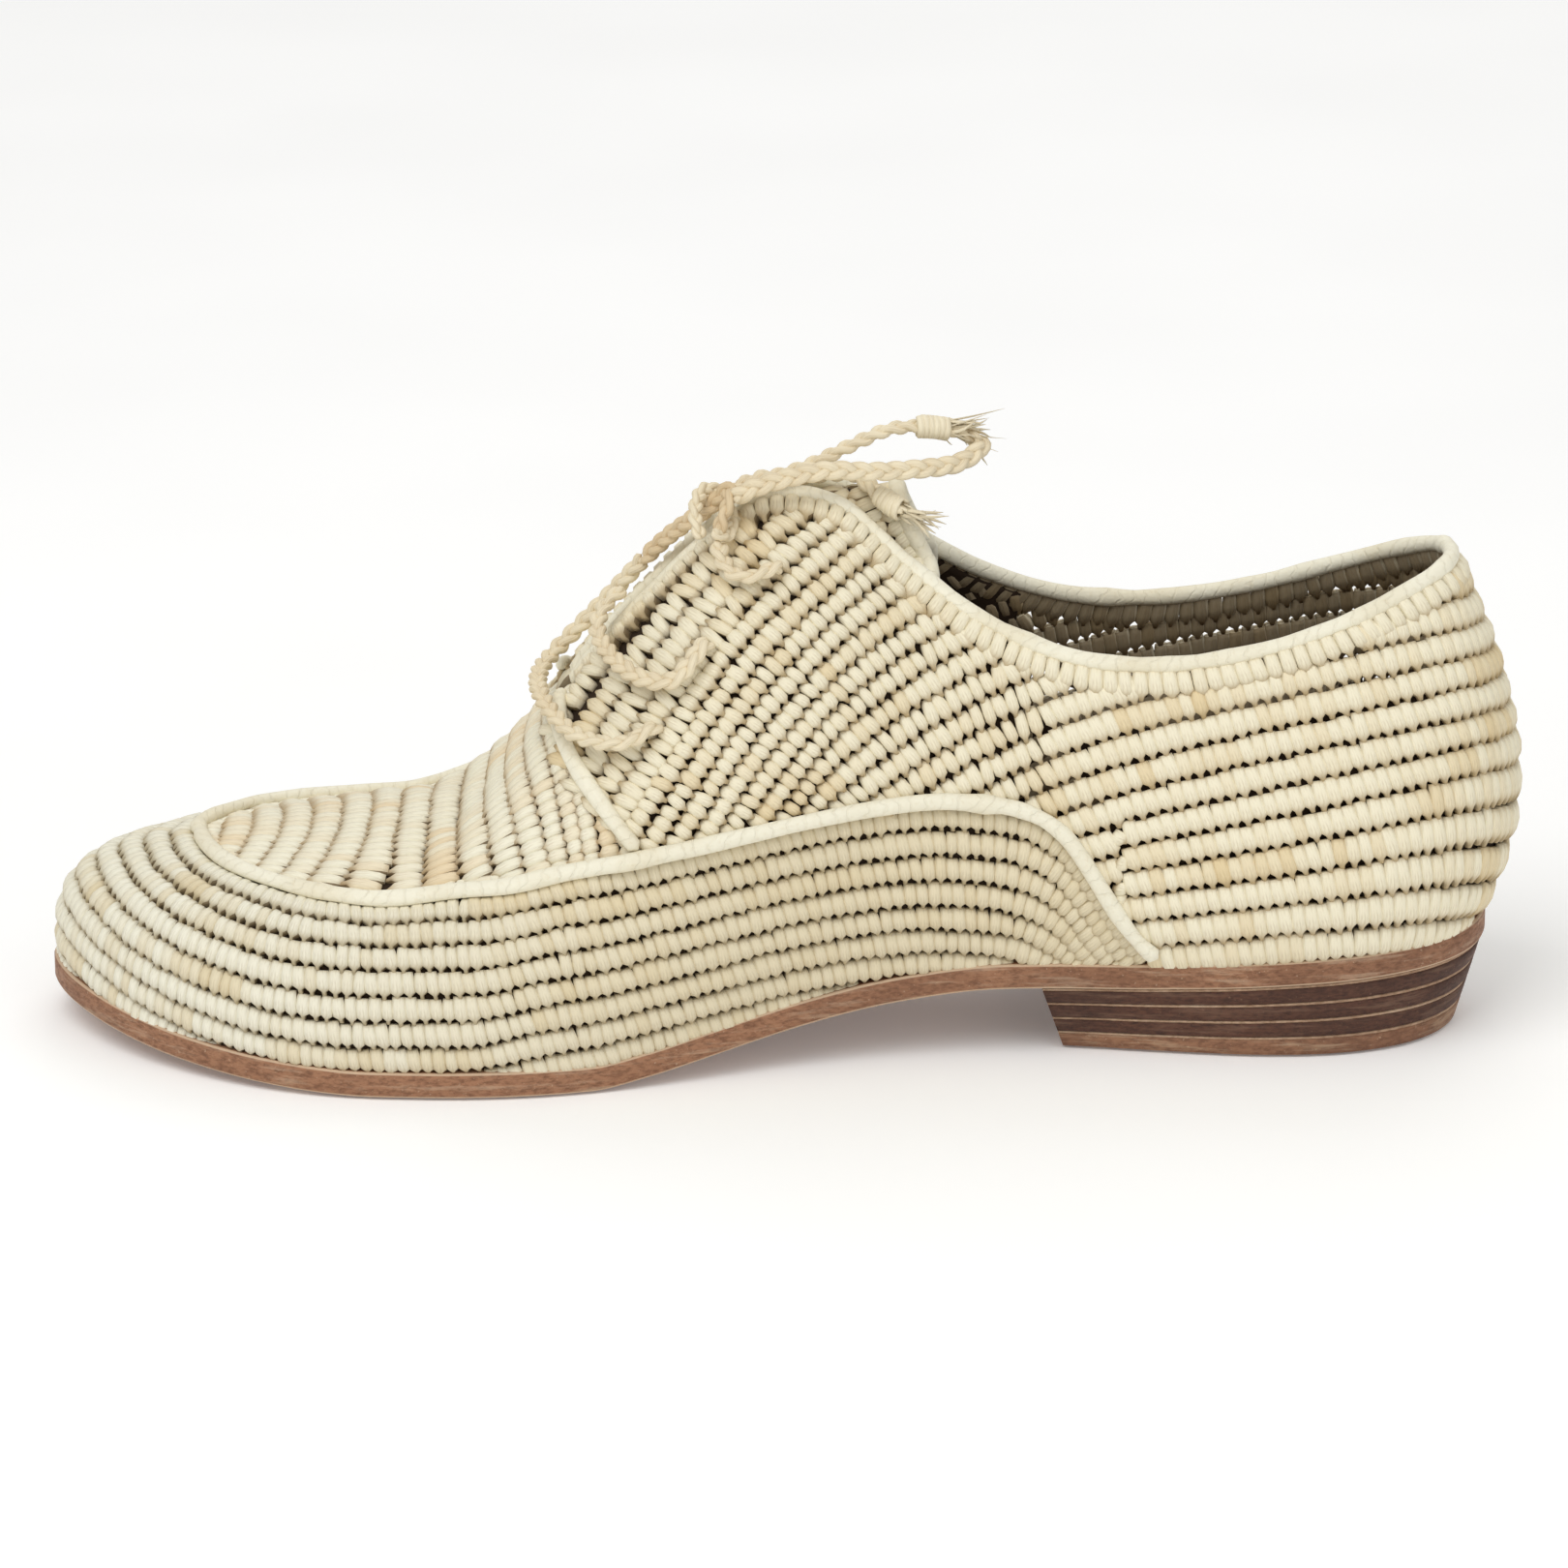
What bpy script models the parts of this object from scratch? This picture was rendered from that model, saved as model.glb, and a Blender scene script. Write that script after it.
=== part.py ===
"""Left lace-up derby shoe crocheted from raffia, on a leather sole with a low stacked heel.

Toe to -X, outer side of the foot to -Y, sole standing on z = 0. Blender works in metres.
The tables are in millimetres: "along" runs from the back of the heel curve to the toe tip,
and heights are above the floor.
"""
from collections import namedtuple

import bmesh
import bpy
import numpy as np

MM = 0.001

# Sizes that drive the shoe, in millimetres.
SOLE_THICKNESS = 4.6
SOLE_EDGE = 0.9
SOLE_ROUND = 0.5
GAP = 0.3
WALL = 2.2
QUARTER_STEP = 0.8
INSOLE_THICKNESS = 2.4
INSOLE_CLEAR = 0.7
TONGUE_THICKNESS = 1.8
TONGUE_CLEAR = 1.1
CORD_WIDTH = 3.2
CORD_RISE = 1.8
EDGE_CORD = 3.0
LACE = 4.0
LIFTS = 3
HEEL_BREAST = 83.0
HEEL_TAPER = 1.4
HEEL_TAPER_BACK = 4.2
HEEL_TAPER_FRONT = 4.0
HEEL_EDGE = 0.5
BREAST_RAKE = 4.0
LOW_SEAM = 7.0
APRON_START = 5.0
CORD_CLEAR = 0.45
RIM_CORD_CLEAR = 0.6
COLLAR_CORD_END = 12.9

# Fineness of the faceted solids.
WALL_POINTS = 49
SOLE_ROW = 0.5
SOLE_TIP = 0.12
CORD_ROWS = 2.5
CORD_SIDES = 5
EDGE_CORD_SIDES = 7
LACE_SIDES = 7
BAR_STEPS = 3
FREE_STEPS = 2
FACING_CORD_STEPS = 12
TONGUE_ACROSS = 13
TONGUE_ALONG = 15
GRID_STEP = 0.5
GRID_STEP_FACING = 0.25
FACING_CLEAR = 0.4
FACING_LINES = (-0.25, -0.05, 0.0, 0.2)
PLUG_START = 0.6
TOE_LEFT_OUT = 0.3
RAISED_MARGIN = 0.12
PANEL_ROWS_LOW = (0, 0.25, 0.5, 0.75, 0.99)
PANEL_ROWS_HIGH = (0.012, 0.12, 0.28, 0.46, 0.64, 0.82, 1.0)
ROW_STEP = 0.02
WALL_STEP = 0.4

# Colour and roughness of each material.
LOOKS = {
    "raffia": ((0.72, 0.60, 0.40), 0.75),
    "raffia cord": ((0.80, 0.70, 0.50), 0.7),
    "raffia braid": ((0.74, 0.60, 0.38), 0.75),
    "sole leather": ((0.28, 0.15, 0.08), 0.55),
    "insole leather": ((0.50, 0.36, 0.22), 0.6),
    "lift leather": ((0.12, 0.06, 0.035), 0.5),
    "top piece leather": ((0.32, 0.19, 0.11), 0.6),
}

# Height of the sole's underside along its middle: heel seat, arch, flat tread, toe spring.
SoleRow = namedtuple("SoleRow", "along under")
SOLE_LINE = [
    SoleRow(-4.0, 15.8),
    SoleRow(5.0, 15.3),
    SoleRow(35.0, 14.0),
    SoleRow(67.0, 12.9),
    SoleRow(90.0, 12.6),
    SoleRow(108.0, 10.8),
    SoleRow(124.0, 7.9),
    SoleRow(140.0, 4.2),
    SoleRow(152.0, 1.5),
    SoleRow(162.0, 0.0),
    SoleRow(200.0, 0.0),
    SoleRow(217.0, 0.8),
    SoleRow(234.0, 2.3),
    SoleRow(248.0, 4.2),
    SoleRow(260.0, 6.3),
]

# A row for each section of the upper, heel back to toe tip.
#   along, lateral, medial: where the wall leaves the sole, as half widths from the heel axis
#   rim_along, rim_half, rim_height: where it ends, at the collar, facing edge or vamp ridge
#   rim_lean: lean of the wall there from upright; rim_fall: fall of the ridge towards the toe
#   lean_lateral, lean_medial: outward lean of the wall at the sole
#   foot_pull, pull_lateral, pull_medial: how far each end keeps its direction, as shares of the chord,
#   at the sole and at the rim of each side
#   apron: width of the apron band, measured up the wall from the sole
Section = namedtuple(
    "Section",
    "along lateral medial rim_along rim_half rim_height rim_lean rim_fall "
    "lean_lateral lean_medial foot_pull pull_lateral pull_medial apron",
)
SECTIONS = [
    Section(4.2, 0.0, 0.0, 10.2, 0.0, 83.6, 24, 0, 29, 29, 0.38, 0.34, 0.34, 0.0),
    Section(7.0, 11.8, 11.6, 12.3, 7.4, 83.0, 23, 0, 27, 27, 0.38, 0.34, 0.34, 0.0),
    Section(15.2, 20.8, 20.2, 18.6, 13.0, 80.6, 20, 0, 24, 24, 0.37, 0.34, 0.34, 0.0),
    Section(28.5, 26.4, 25.6, 29.6, 17.8, 76.2, 16, 0, 21, 22, 0.36, 0.34, 0.34, 0.0),
    Section(45.0, 28.2, 26.8, 45.0, 20.0, 71.4, 13, 0, 18, 22, 0.36, 0.34, 0.34, 0.0),
    Section(63.0, 27.4, 25.2, 62.0, 20.6, 68.8, 12, 0, 17, 24, 0.36, 0.34, 0.34, 2.0),
    Section(81.0, 26.2, 22.6, 78.5, 19.6, 70.0, 16, 0, 18, 28, 0.36, 0.33, 0.33, 24.8),
    Section(99.0, 26.6, 20.8, 94.0, 16.4, 76.0, 26, 0, 18, 31, 0.36, 0.32, 0.32, 31.2),
    Section(116.0, 29.0, 20.6, 107.5, 11.6, 85.4, 40, 0, 16, 31, 0.36, 0.30, 0.30, 33.4),
    Section(131.0, 33.0, 22.0, 118.5, 7.4, 94.4, 55, 0, 14, 29, 0.36, 0.28, 0.28, 35.0),
    Section(145.0, 37.8, 25.2, 131.0, 4.8, 95.4, 64, 0, 12, 25, 0.36, 0.26, 0.26, 36.0),
    Section(158.0, 42.0, 29.3, 142.0, 4.4, 87.6, 65, 0, 10, 20, 0.36, 0.25, 0.25, 36.4),
    Section(170.0, 44.8, 33.4, 152.5, 4.4, 77.0, 65, 0, 9, 15, 0.36, 0.22, 0.22, 35.2),
    Section(181.0, 46.0, 36.4, 162.5, 4.4, 66.0, 66, 0, 8, 11, 0.37, 0.18, 0.18, 33.0),
    Section(192.0, 46.0, 38.2, 172.5, 4.4, 52.4, 90, 50, 8, 9, 0.40, 0.19, 0.19, 32.6),
    Section(204.0, 45.0, 38.6, 182.5, 0.0, 40.9, 90, 42, 8, 8, 0.45, 0.35, 0.24, 32.4),
    Section(216.0, 42.0, 37.4, 192.0, 0.0, 38.2, 90, 20, 8, 8, 0.46, 0.56, 0.20, 32.4),
    Section(228.0, 36.4, 33.8, 200.5, 0.0, 36.6, 90, 11, 8, 8, 0.46, 0.67, 0.23, 33.4),
    Section(239.0, 28.9, 27.6, 207.5, 0.0, 35.6, 90, 7, 7, 7, 0.45, 0.72, 0.31, 35.0),
    Section(248.4, 19.5, 19.0, 212.3, 0.0, 35.1, 90, 5, 5, 5, 0.42, 0.73, 0.43, 37.0),
    Section(255.0, 9.6, 9.4, 215.0, 0.0, 34.9, 90, 5, 3, 3, 0.39, 0.72, 0.61, 38.6),
    Section(257.6, 0.0, 0.0, 215.8, 0.0, 34.8, 90, 5, 2, 2, 0.38, 0.72, 0.72, 39.2),
]
LAST = len(SECTIONS) - 1
THROAT = 13.75
FACING_FOOT = 11.15
CAP_LEAN = (20, 88)
FACING_CORD_IN = 0.28
FACING_CORD_LOW = 0.1
FACING_CORD_HIGH = 0.84
WARP_BACK = 7.0
WARP_FRONT = 18.0
WARP_EASE = 1.9
SQUARE_BACK = 15.0
SQUARE_FADE = 4.0
SQUARE_LEAST = 0.35
LATERAL, MEDIAL = -1, 1

# The tongue in rows of the section table, and its half widths.
TONGUE_FRONT = 14.7
TONGUE_BACK = 8.2
TONGUE_BOW = 0.62
TONGUE_BOW_WIDTH = 0.32
TONGUE_RISE = 7.6
TONGUE_RISE_EASE = 8
TONGUE_CREST = 8.2
TONGUE_HALF_FRONT = 11.0
TONGUE_HALF_BACK = 21.0

# Lace bars over the throat: row of the section table, arc from the middle line, height over the wall.
BarRow = namedtuple("BarRow", "row arc lift")
BARS = {
    "lace_bar_1": [
        BarRow(11.10, -41.0, 3.4), BarRow(11.35, -42.0, 4.4), BarRow(11.70, -39.5, 5.5),
        BarRow(12.20, -33.5, 5.8), BarRow(12.70, -25.0, 5.8), BarRow(13.10, -16.0, 5.8),
        BarRow(13.35, -8.0, 5.6), BarRow(13.42, -1.0, 5.0), BarRow(13.28, 4.5, 4.2),
        BarRow(12.95, 7.2, 3.6), BarRow(12.55, 7.5, 3.4), BarRow(12.20, 6.4, 3.4),
        BarRow(11.86, 4.4, 3.5),
    ],
    "lace_bar_2": [
        BarRow(10.50, -31.0, 3.4), BarRow(10.60, -34.5, 3.6), BarRow(10.85, -35.5, 3.6),
        BarRow(11.30, -31.5, 3.8), BarRow(11.80, -23.5, 4.2), BarRow(12.25, -14.0, 4.6),
        BarRow(12.42, -8.0, 4.8), BarRow(12.36, -3.6, 4.3), BarRow(12.16, -1.8, 3.2),
    ],
    "lace_top_lateral": [
        BarRow(9.70, -21.0, 3.4), BarRow(9.90, -23.0, 3.5), BarRow(10.15, -22.0, 3.5),
        BarRow(10.36, -18.0, 3.5), BarRow(10.47, -13.6, 3.7),
    ],
    "lace_top_medial": [
        BarRow(10.91, -0.7, 3.7), BarRow(10.70, 6.0, 3.5), BarRow(10.45, 11.0, 3.5),
        BarRow(10.10, 16.5, 3.5), BarRow(9.70, 21.0, 3.4),
    ],
}

# Free runs of the lace, in millimetres along, across and up.
CordRow = namedtuple("CordRow", "along across height")
CORDS = {
    "lace_knot": [
        CordRow(152.9, 4.8, 81.7), CordRow(148.4, 0.6, 87.2), CordRow(144.5, -3.2, 91.2),
        CordRow(140.9, -5.9, 94.6), CordRow(138.2, -7.8, 97.8), CordRow(137.6, -10.2, 97.1),
        CordRow(139.0, -11.5, 93.8), CordRow(139.5, -12.8, 91.2),
    ],
    "lace_loop_back": [
        CordRow(135.5, -7.1, 98.6), CordRow(130.7, -5.4, 99.6), CordRow(127.4, -4.6, 100.3),
        CordRow(123.2, -4.0, 101.7), CordRow(116.1, -2.0, 104.6), CordRow(109.7, -0.5, 106.9),
        CordRow(103.2, 1.0, 107.4), CordRow(97.0, 2.4, 106.8), CordRow(93.6, 1.0, 104.2),
        CordRow(97.9, -3.0, 101.5), CordRow(105.5, -6.6, 101.4), CordRow(113.1, -8.4, 101.5),
        CordRow(120.7, -9.8, 102.1), CordRow(128.2, -10.6, 100.8), CordRow(133.6, -11.1, 99.2),
    ],
    "lace_end": [
        CordRow(131.2, 3.2, 99.3), CordRow(125.7, 4.0, 100.3), CordRow(119.7, 3.0, 100.3),
        CordRow(115.5, -0.5, 98.9), CordRow(112.2, -4.0, 96.6), CordRow(108.9, -6.5, 94.6),
        CordRow(105.5, -8.0, 93.9), CordRow(102.5, -8.5, 94.7),
    ],
}


def spline(knots, where):
    """Catmull-Rom through rows of values that are one apart, first row at 0."""
    where = np.clip(np.asarray(where, float), 1.0, len(knots) - 2.000001)
    i = np.floor(where).astype(int)
    t = (where - i)[..., None] if knots.ndim > 1 else where - i
    a, b, c, d = knots[i - 1], knots[i], knots[i + 1], knots[i + 2]
    return 0.5 * (2 * b + (c - a) * t + (2 * a - 5 * b + 4 * c - d) * t**2 + (3 * b - a - 3 * c + d) * t**3)


def monotone(table, where):
    """Smooth curve through (x, y) rows that never swings past them."""
    x = np.array([row[0] for row in table], float)
    y = np.array([row[1] for row in table], float)
    step = np.diff(y) / np.diff(x)
    slope = np.zeros(len(x))
    same = step[:-1] * step[1:] > 0
    slope[1:-1][same] = 2 * step[:-1][same] * step[1:][same] / (step[:-1] + step[1:])[same]
    slope[0], slope[-1] = step[0], step[-1]
    where = np.clip(where, x[0], x[-1])
    i = np.clip(np.searchsorted(x, where) - 1, 0, len(x) - 2)
    h = x[i + 1] - x[i]
    t = (where - x[i]) / h
    start = y[i] * (1 + 2 * t) * (1 - t) ** 2 + slope[i] * h * t * (1 - t) ** 2
    return start + y[i + 1] * t * t * (3 - 2 * t) + slope[i + 1] * h * t * t * (t - 1)


def under(along):
    """Height of the sole's underside."""
    return monotone(SOLE_LINE, along)


def signed_rows(side):
    """The table of one side, with two rows of the other side beyond each end."""
    rows = []
    for k in range(-2, LAST + 3):
        row = SECTIONS[abs(k) if k <= LAST else 2 * LAST - k]
        here = side if 0 <= k <= LAST else -side
        half = row.lateral if here == LATERAL else row.medial
        lean = row.lean_lateral if here == LATERAL else row.lean_medial
        pull = row.pull_lateral if here == LATERAL else row.pull_medial
        rows.append((row.along, here * half, row.rim_along, here * row.rim_half, row.rim_height,
                     row.rim_lean, row.rim_fall, lean, row.foot_pull, pull, row.apron))
    return np.array(rows, float)


ROWS = {side: signed_rows(side) for side in (LATERAL, MEDIAL)}


def columns_at(side, p):
    return np.moveaxis(spline(ROWS[side], np.asarray(p, float) + 2), -1, 0)


def throat_share(p):
    """1 along the open throat, rounding down to 0 at its front end."""
    return np.sqrt(np.clip(1 - np.clip(np.asarray(p) - (THROAT - 1), 0, 1) ** 2, 0, 1))


def unit(v):
    return v / np.maximum(np.linalg.norm(v, axis=-1, keepdims=True), 1e-12)


def outline(side, p):
    """Foot of the wall on the sole: along, across, and the outward direction in plan."""
    p = np.asarray(p, float)
    a, b = columns_at(side, p + ROW_STEP)[:2] - columns_at(side, p - ROW_STEP)[:2]
    out = side * np.stack([b, -a], -1) * -1
    along, across = columns_at(side, p)[:2]
    return along, across, unit(out)


def section(side, p):
    """Points up the wall at row p, from the sole to the rim, as (along, across, height)."""
    p = np.asarray(p, float)
    (_, _, rim_along, rim_half, rim_height, rim_lean, rim_fall,
     lean, foot_pull, rim_pull, _) = columns_at(side, p)
    along, across, out = outline(side, p)
    foot = np.stack([along, across, under(along) + SOLE_THICKNESS + GAP], -1)
    rim = np.stack([rim_along, rim_half * throat_share(p), rim_height], -1)
    chord = np.linalg.norm(rim - foot, axis=-1)[..., None]
    lean, rim_fall = np.radians(lean), np.radians(rim_fall)
    rim_lean = np.radians(np.minimum(rim_lean, 90))
    first = np.concatenate([out * np.sin(lean)[..., None], np.cos(lean)[..., None]], -1)
    keep = np.clip((p - SQUARE_BACK) / SQUARE_FADE, SQUARE_LEAST, 1)
    level = unit((rim - foot)[..., :2] * np.stack([keep, np.ones_like(keep)], -1))
    rise = np.cos(rim_lean) - np.sin(rim_lean) * np.tan(rim_fall) * level[..., 0]
    last = unit(np.concatenate([level * np.sin(rim_lean)[..., None], rise[..., None]], -1))
    near = foot + first * chord * foot_pull[..., None]
    far = rim - last * chord * rim_pull[..., None]
    t = np.linspace(0, 1, WALL_POINTS)[:, None]
    foot, near, far, rim = (v[..., None, :] for v in (foot, near, far, rim))
    return foot * (1 - t) ** 3 + near * 3 * t * (1 - t) ** 2 + far * 3 * t * t * (1 - t) + rim * t**3


def lengths(points):
    run = np.linalg.norm(np.diff(points, axis=-2), axis=-1)
    return np.concatenate([np.zeros(run.shape[:-1] + (1,)), np.cumsum(run, -1)], -1)


def wall_height(side, p):
    """Length of the wall from the sole up to the rim."""
    return lengths(section(side, p))[..., -1]


def wall_point(side, p, s):
    """Point of the outer wall at row p, s millimetres up it from the sole."""
    p, s = np.broadcast_arrays(np.asarray(p, float), np.asarray(s, float))
    curve = section(side, p.ravel())
    run = lengths(curve)
    out = np.empty((p.size, 3))
    for k, (line, length, up) in enumerate(zip(curve, run, s.ravel())):
        over = up - length[-1]
        for axis in range(3):
            out[k, axis] = np.interp(up, length, line[:, axis])
        if over > 0:
            out[k] += (line[-1] - line[-2]) / (length[-1] - length[-2]) * over
    return out.reshape(p.shape + (3,))


def wall_normal(side, p, s):
    """Outward direction of the wall."""
    dp, ds = ROW_STEP, WALL_STEP
    high = wall_height(side, p)
    s = np.clip(s, ds, np.maximum(high - ds, ds))
    a = wall_point(side, np.add(p, dp), s) - wall_point(side, np.subtract(p, dp), s)
    b = wall_point(side, p, np.add(s, ds)) - wall_point(side, p, np.subtract(s, ds))
    return unit(np.cross(a, b)) * -side


def apron_width(side, p):
    return np.maximum(columns_at(side, p)[-1], 0)


def world(points):
    """Millimetres along, across and up to Blender's metres, toe to -X."""
    points = np.asarray(points, float)
    return np.stack([-points[..., 0], points[..., 1], points[..., 2]], -1) * MM


def facing_warp(q, v):
    """Row at share v of the way up from the apron; grid line FACING_FOOT is the facing's edge."""
    back = np.clip((q - WARP_BACK) / (FACING_FOOT - WARP_BACK), 0, 1)
    front = np.clip((WARP_FRONT - q) / (WARP_FRONT - FACING_FOOT), 0, 1)
    return q + (THROAT - FACING_FOOT) * np.minimum(back, front) * (1 - (1 - v) ** WARP_EASE)


def seam_line(side, p):
    """Length up the wall where the halves of the grid meet: the apron's edge, or near the sole."""
    return np.maximum(apron_width(side, p), LOW_SEAM)


def panel_point(side, q, v):
    """Row and length up the wall for grid line q, v of the way from the seam line to the rim."""
    p = facing_warp(q, v)
    low = seam_line(side, p)
    return p, low + (wall_height(side, p) - low) * v


def make_object(name, verts, faces, look):
    mesh = bpy.data.meshes.new(name)
    mesh.from_pydata([tuple(v) for v in world(verts)], [], faces)
    mesh.validate()
    edit = bmesh.new()
    edit.from_mesh(mesh)
    bmesh.ops.recalc_face_normals(edit, faces=edit.faces)
    edit.to_mesh(mesh)
    edit.free()
    return add_part(name, mesh, look)


def add_part(name, data, look):
    color, roughness = LOOKS[look]
    material = bpy.data.materials.get(look) or bpy.data.materials.new(look)
    material.use_nodes = True
    shader = material.node_tree.nodes["Principled BSDF"]
    shader.inputs["Base Color"].default_value = (*color, 1)
    shader.inputs["Roughness"].default_value = roughness
    obj = bpy.data.objects.new(name, data)
    data.materials.append(material)
    bpy.context.scene.collection.objects.link(obj)
    return obj


def ring_faces(rings, closed=True):
    """Quads between neighbouring rings of vertex numbers."""
    faces = []
    for low, high in zip(rings[:-1], rings[1:]):
        count = len(low)
        for i in range(count if closed else count - 1):
            j = (i + 1) % count
            faces.append((low[i], low[j], high[j], high[i]))
    return faces


def slab(name, look, rows, rings):
    """Flat piece over an outline: rows gives its edge points for each (inset, level) up its side."""
    verts, loops = [], []
    for inset, level in rings:
        left, right = (rows(side, inset, level) for side in (LATERAL, MEDIAL))
        start = len(verts)
        loop = list(left) + list(right[::-1])
        verts += loop
        loops.append(list(range(start, start + len(loop))))
    faces = ring_faces(loops)
    for loop in (loops[0], loops[-1]):
        n = len(loop)
        faces += [(loop[i], loop[i + 1], loop[n - 2 - i], loop[n - 1 - i]) for i in range(n // 2 - 1)]
    return make_object(name, verts, faces, look)


def sole_rows(q, base, spread):
    """Lines across a slab that follows the sole: base is its height over the sole's underside."""
    def rows(side, inset, level):
        along, across, out = outline(side, q)
        reach = spread - inset
        along, across = along + out[:, 0] * reach, across + out[:, 1] * reach
        return np.stack([along, across, under(along) + base + level], -1)
    return rows


def make_sole():
    q = np.concatenate([[SOLE_TIP], np.arange(SOLE_ROW, LAST, SOLE_ROW), [LAST - SOLE_TIP]])
    r = SOLE_ROUND
    edge = [(r, 0), (0, r), (0, SOLE_THICKNESS - r), (r, SOLE_THICKNESS)]
    slab("outsole", "sole leather", sole_rows(q, 0, SOLE_EDGE), edge)
    edge = [(r, 0), (0, r), (0, INSOLE_THICKNESS - r), (r, INSOLE_THICKNESS)]
    slab("insole", "insole leather", sole_rows(q, SOLE_THICKNESS + GAP, -WALL - INSOLE_CLEAR), edge)


def make_heel():
    rows = np.arange(LAST + 1)
    breast = np.interp(HEEL_BREAST, columns_at(LATERAL, rows)[0], rows)
    q = np.concatenate([[SOLE_TIP], np.arange(SOLE_ROW, breast - SOLE_ROW / 2, SOLE_ROW), [breast]])
    layers = LIFTS + 1

    def rows_for(layer):
        def rows(side, inset, level):
            along, across, out = outline(side, q)
            along = along + out[:, 0] * (SOLE_EDGE - inset)
            across = across + out[:, 1] * (SOLE_EDGE - inset)
            down = 1 - (layer + level) / layers
            share = (along - along[0]) / (along[-1] - along[0])
            moved = along + down * (HEEL_TAPER_BACK * (1 - share) - BREAST_RAKE * share)
            taper = HEEL_TAPER + HEEL_TAPER_FRONT * share**2
            across = across * (1 - down * taper / np.abs(across).max())
            lift = (under(moved) - GAP) / layers
            low = GAP if layer else 0
            return np.stack([moved, across, lift * (layer + level) + low * (1 - level)], -1)
        return rows

    names = ["top_piece"] + ["heel_lift_%d" % (k + 1) for k in range(LIFTS)]
    for layer, name in enumerate(names):
        look = "lift leather" if layer else "top piece leather"
        slab(name, look, rows_for(layer), [(HEEL_EDGE, 0), (HEEL_EDGE, 1)])


def make_upper():
    """One hollow wall: an outer and an inner grid, joined round the collar, throat and foot."""
    f = FACING_FOOT
    lines = np.concatenate([
        np.arange(0, WARP_BACK, GRID_STEP),
        np.arange(WARP_BACK, f - FACING_CLEAR, GRID_STEP_FACING),
        np.add(FACING_LINES, f),
        np.arange(f + PLUG_START, LAST - TOE_LEFT_OUT, GRID_STEP),
        [LAST],
    ])
    ridge = lines >= f
    grids = {}
    for side in (LATERAL, MEDIAL):
        p, s = [], []
        for share in PANEL_ROWS_LOW:
            p.append(lines)
            s.append(seam_line(side, lines) * share)
        for v in PANEL_ROWS_HIGH:
            row, up = panel_point(side, lines, v)
            p.append(row)
            s.append(up)
        p, s = np.array(p), np.array(s)
        normal = wall_normal(side, p, s)
        normal[0, :, 2] = 0
        normal[-1, ridge, 1] = 0
        normal[:, 0, 1] = 0
        normal[:, -1, 1] = 0
        normal = unit(normal)
        raised = (s > apron_width(side, p) + RAISED_MARGIN) & (lines < f)
        point = wall_point(side, p, s)
        grids[side] = [point + normal * (QUARTER_STEP * raised)[..., None], point - normal * WALL]
    verts, faces, rims, feet = [], [], [], []
    for skin in (0, 1):
        left, right = grids[LATERAL][skin], grids[MEDIAL][skin]
        number = {LATERAL: np.zeros(left.shape[:2], int), MEDIAL: np.zeros(left.shape[:2], int)}
        for side, grid in ((LATERAL, left), (MEDIAL, right)):
            for j in range(grid.shape[0]):
                for i in range(grid.shape[1]):
                    shared = i in (0, grid.shape[1] - 1) or (j == grid.shape[0] - 1 and ridge[i])
                    if side == MEDIAL and shared:
                        number[side][j, i] = number[LATERAL][j, i]
                        continue
                    number[side][j, i] = len(verts)
                    verts.append((left[j, i] + right[j, i]) / 2 if shared else grid[j, i])
        for side in (LATERAL, MEDIAL):
            n = number[side]
            for j in range(n.shape[0] - 1):
                for i in range(n.shape[1] - 1):
                    faces.append((n[j, i], n[j, i + 1], n[j + 1, i + 1], n[j + 1, i]))
        open_lines = np.flatnonzero(lines <= f)
        rims.append([number[LATERAL][-1, i] for i in open_lines[::-1]]
                    + [number[MEDIAL][-1, i] for i in open_lines[1:-1]])
        feet.append(list(number[LATERAL][0]) + list(number[MEDIAL][0, -2:0:-1]))
    faces += ring_faces(rims) + ring_faces(feet)
    return make_object("upper", verts, faces, "raffia")


def cap_length(side, p):
    """Arc from the rim to the middle line over the open throat, and its height."""
    half = np.abs(columns_at(side, p)[3]) * throat_share(p)
    rise = half / (2 * np.tan(np.radians(np.clip(columns_at(side, p)[5], *CAP_LEAN))))
    return half, rise, np.hypot(half, rise)


def over_point(p, across):
    """Point of the wall closed over the throat; across is the arc from the middle, outer side minus."""
    out = []
    for row, arc in zip(np.ravel(p), np.ravel(across)):
        side = LATERAL if arc < 0 else MEDIAL
        half, rise, arch = (float(v) for v in cap_length(side, row))
        if abs(arc) >= arch:
            out.append(wall_point(side, row, wall_height(side, row) - (abs(arc) - arch)))
            continue
        rim = section(side, row)[-1]
        share = abs(arc) / arch if arch > 0 else 0
        out.append([rim[0], side * half * share, rim[2] + rise * (1 - share**2)])
    return np.array(out)


def over_normal(p, across):
    p, across = np.ravel(p), np.ravel(across)
    a = over_point(p + ROW_STEP, across) - over_point(p - ROW_STEP, across)
    b = over_point(p, across + WALL_STEP) - over_point(p, across - WALL_STEP)
    return unit(np.cross(a, b))


def over(p, across, lift):
    """Points at a height over the closed wall."""
    return over_point(p, across) + over_normal(p, across) * np.ravel(lift)[:, None]


def sweep(name, look, centre, normal, profile):
    """Solid swept along a line: profile is a ring of (across, off) round each point."""
    tangent = unit(np.gradient(centre, axis=0))
    normal = unit(normal - tangent * np.sum(normal * tangent, -1, keepdims=True))
    across = np.cross(normal, tangent)
    count = len(profile)
    verts = [c + b * x + n * y for c, n, b in zip(centre, normal, across) for x, y in profile]
    rings = [list(range(k * count, (k + 1) * count)) for k in range(len(centre))]
    return make_object(name, verts, ring_faces(rings) + [rings[0], rings[-1]], look)


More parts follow.
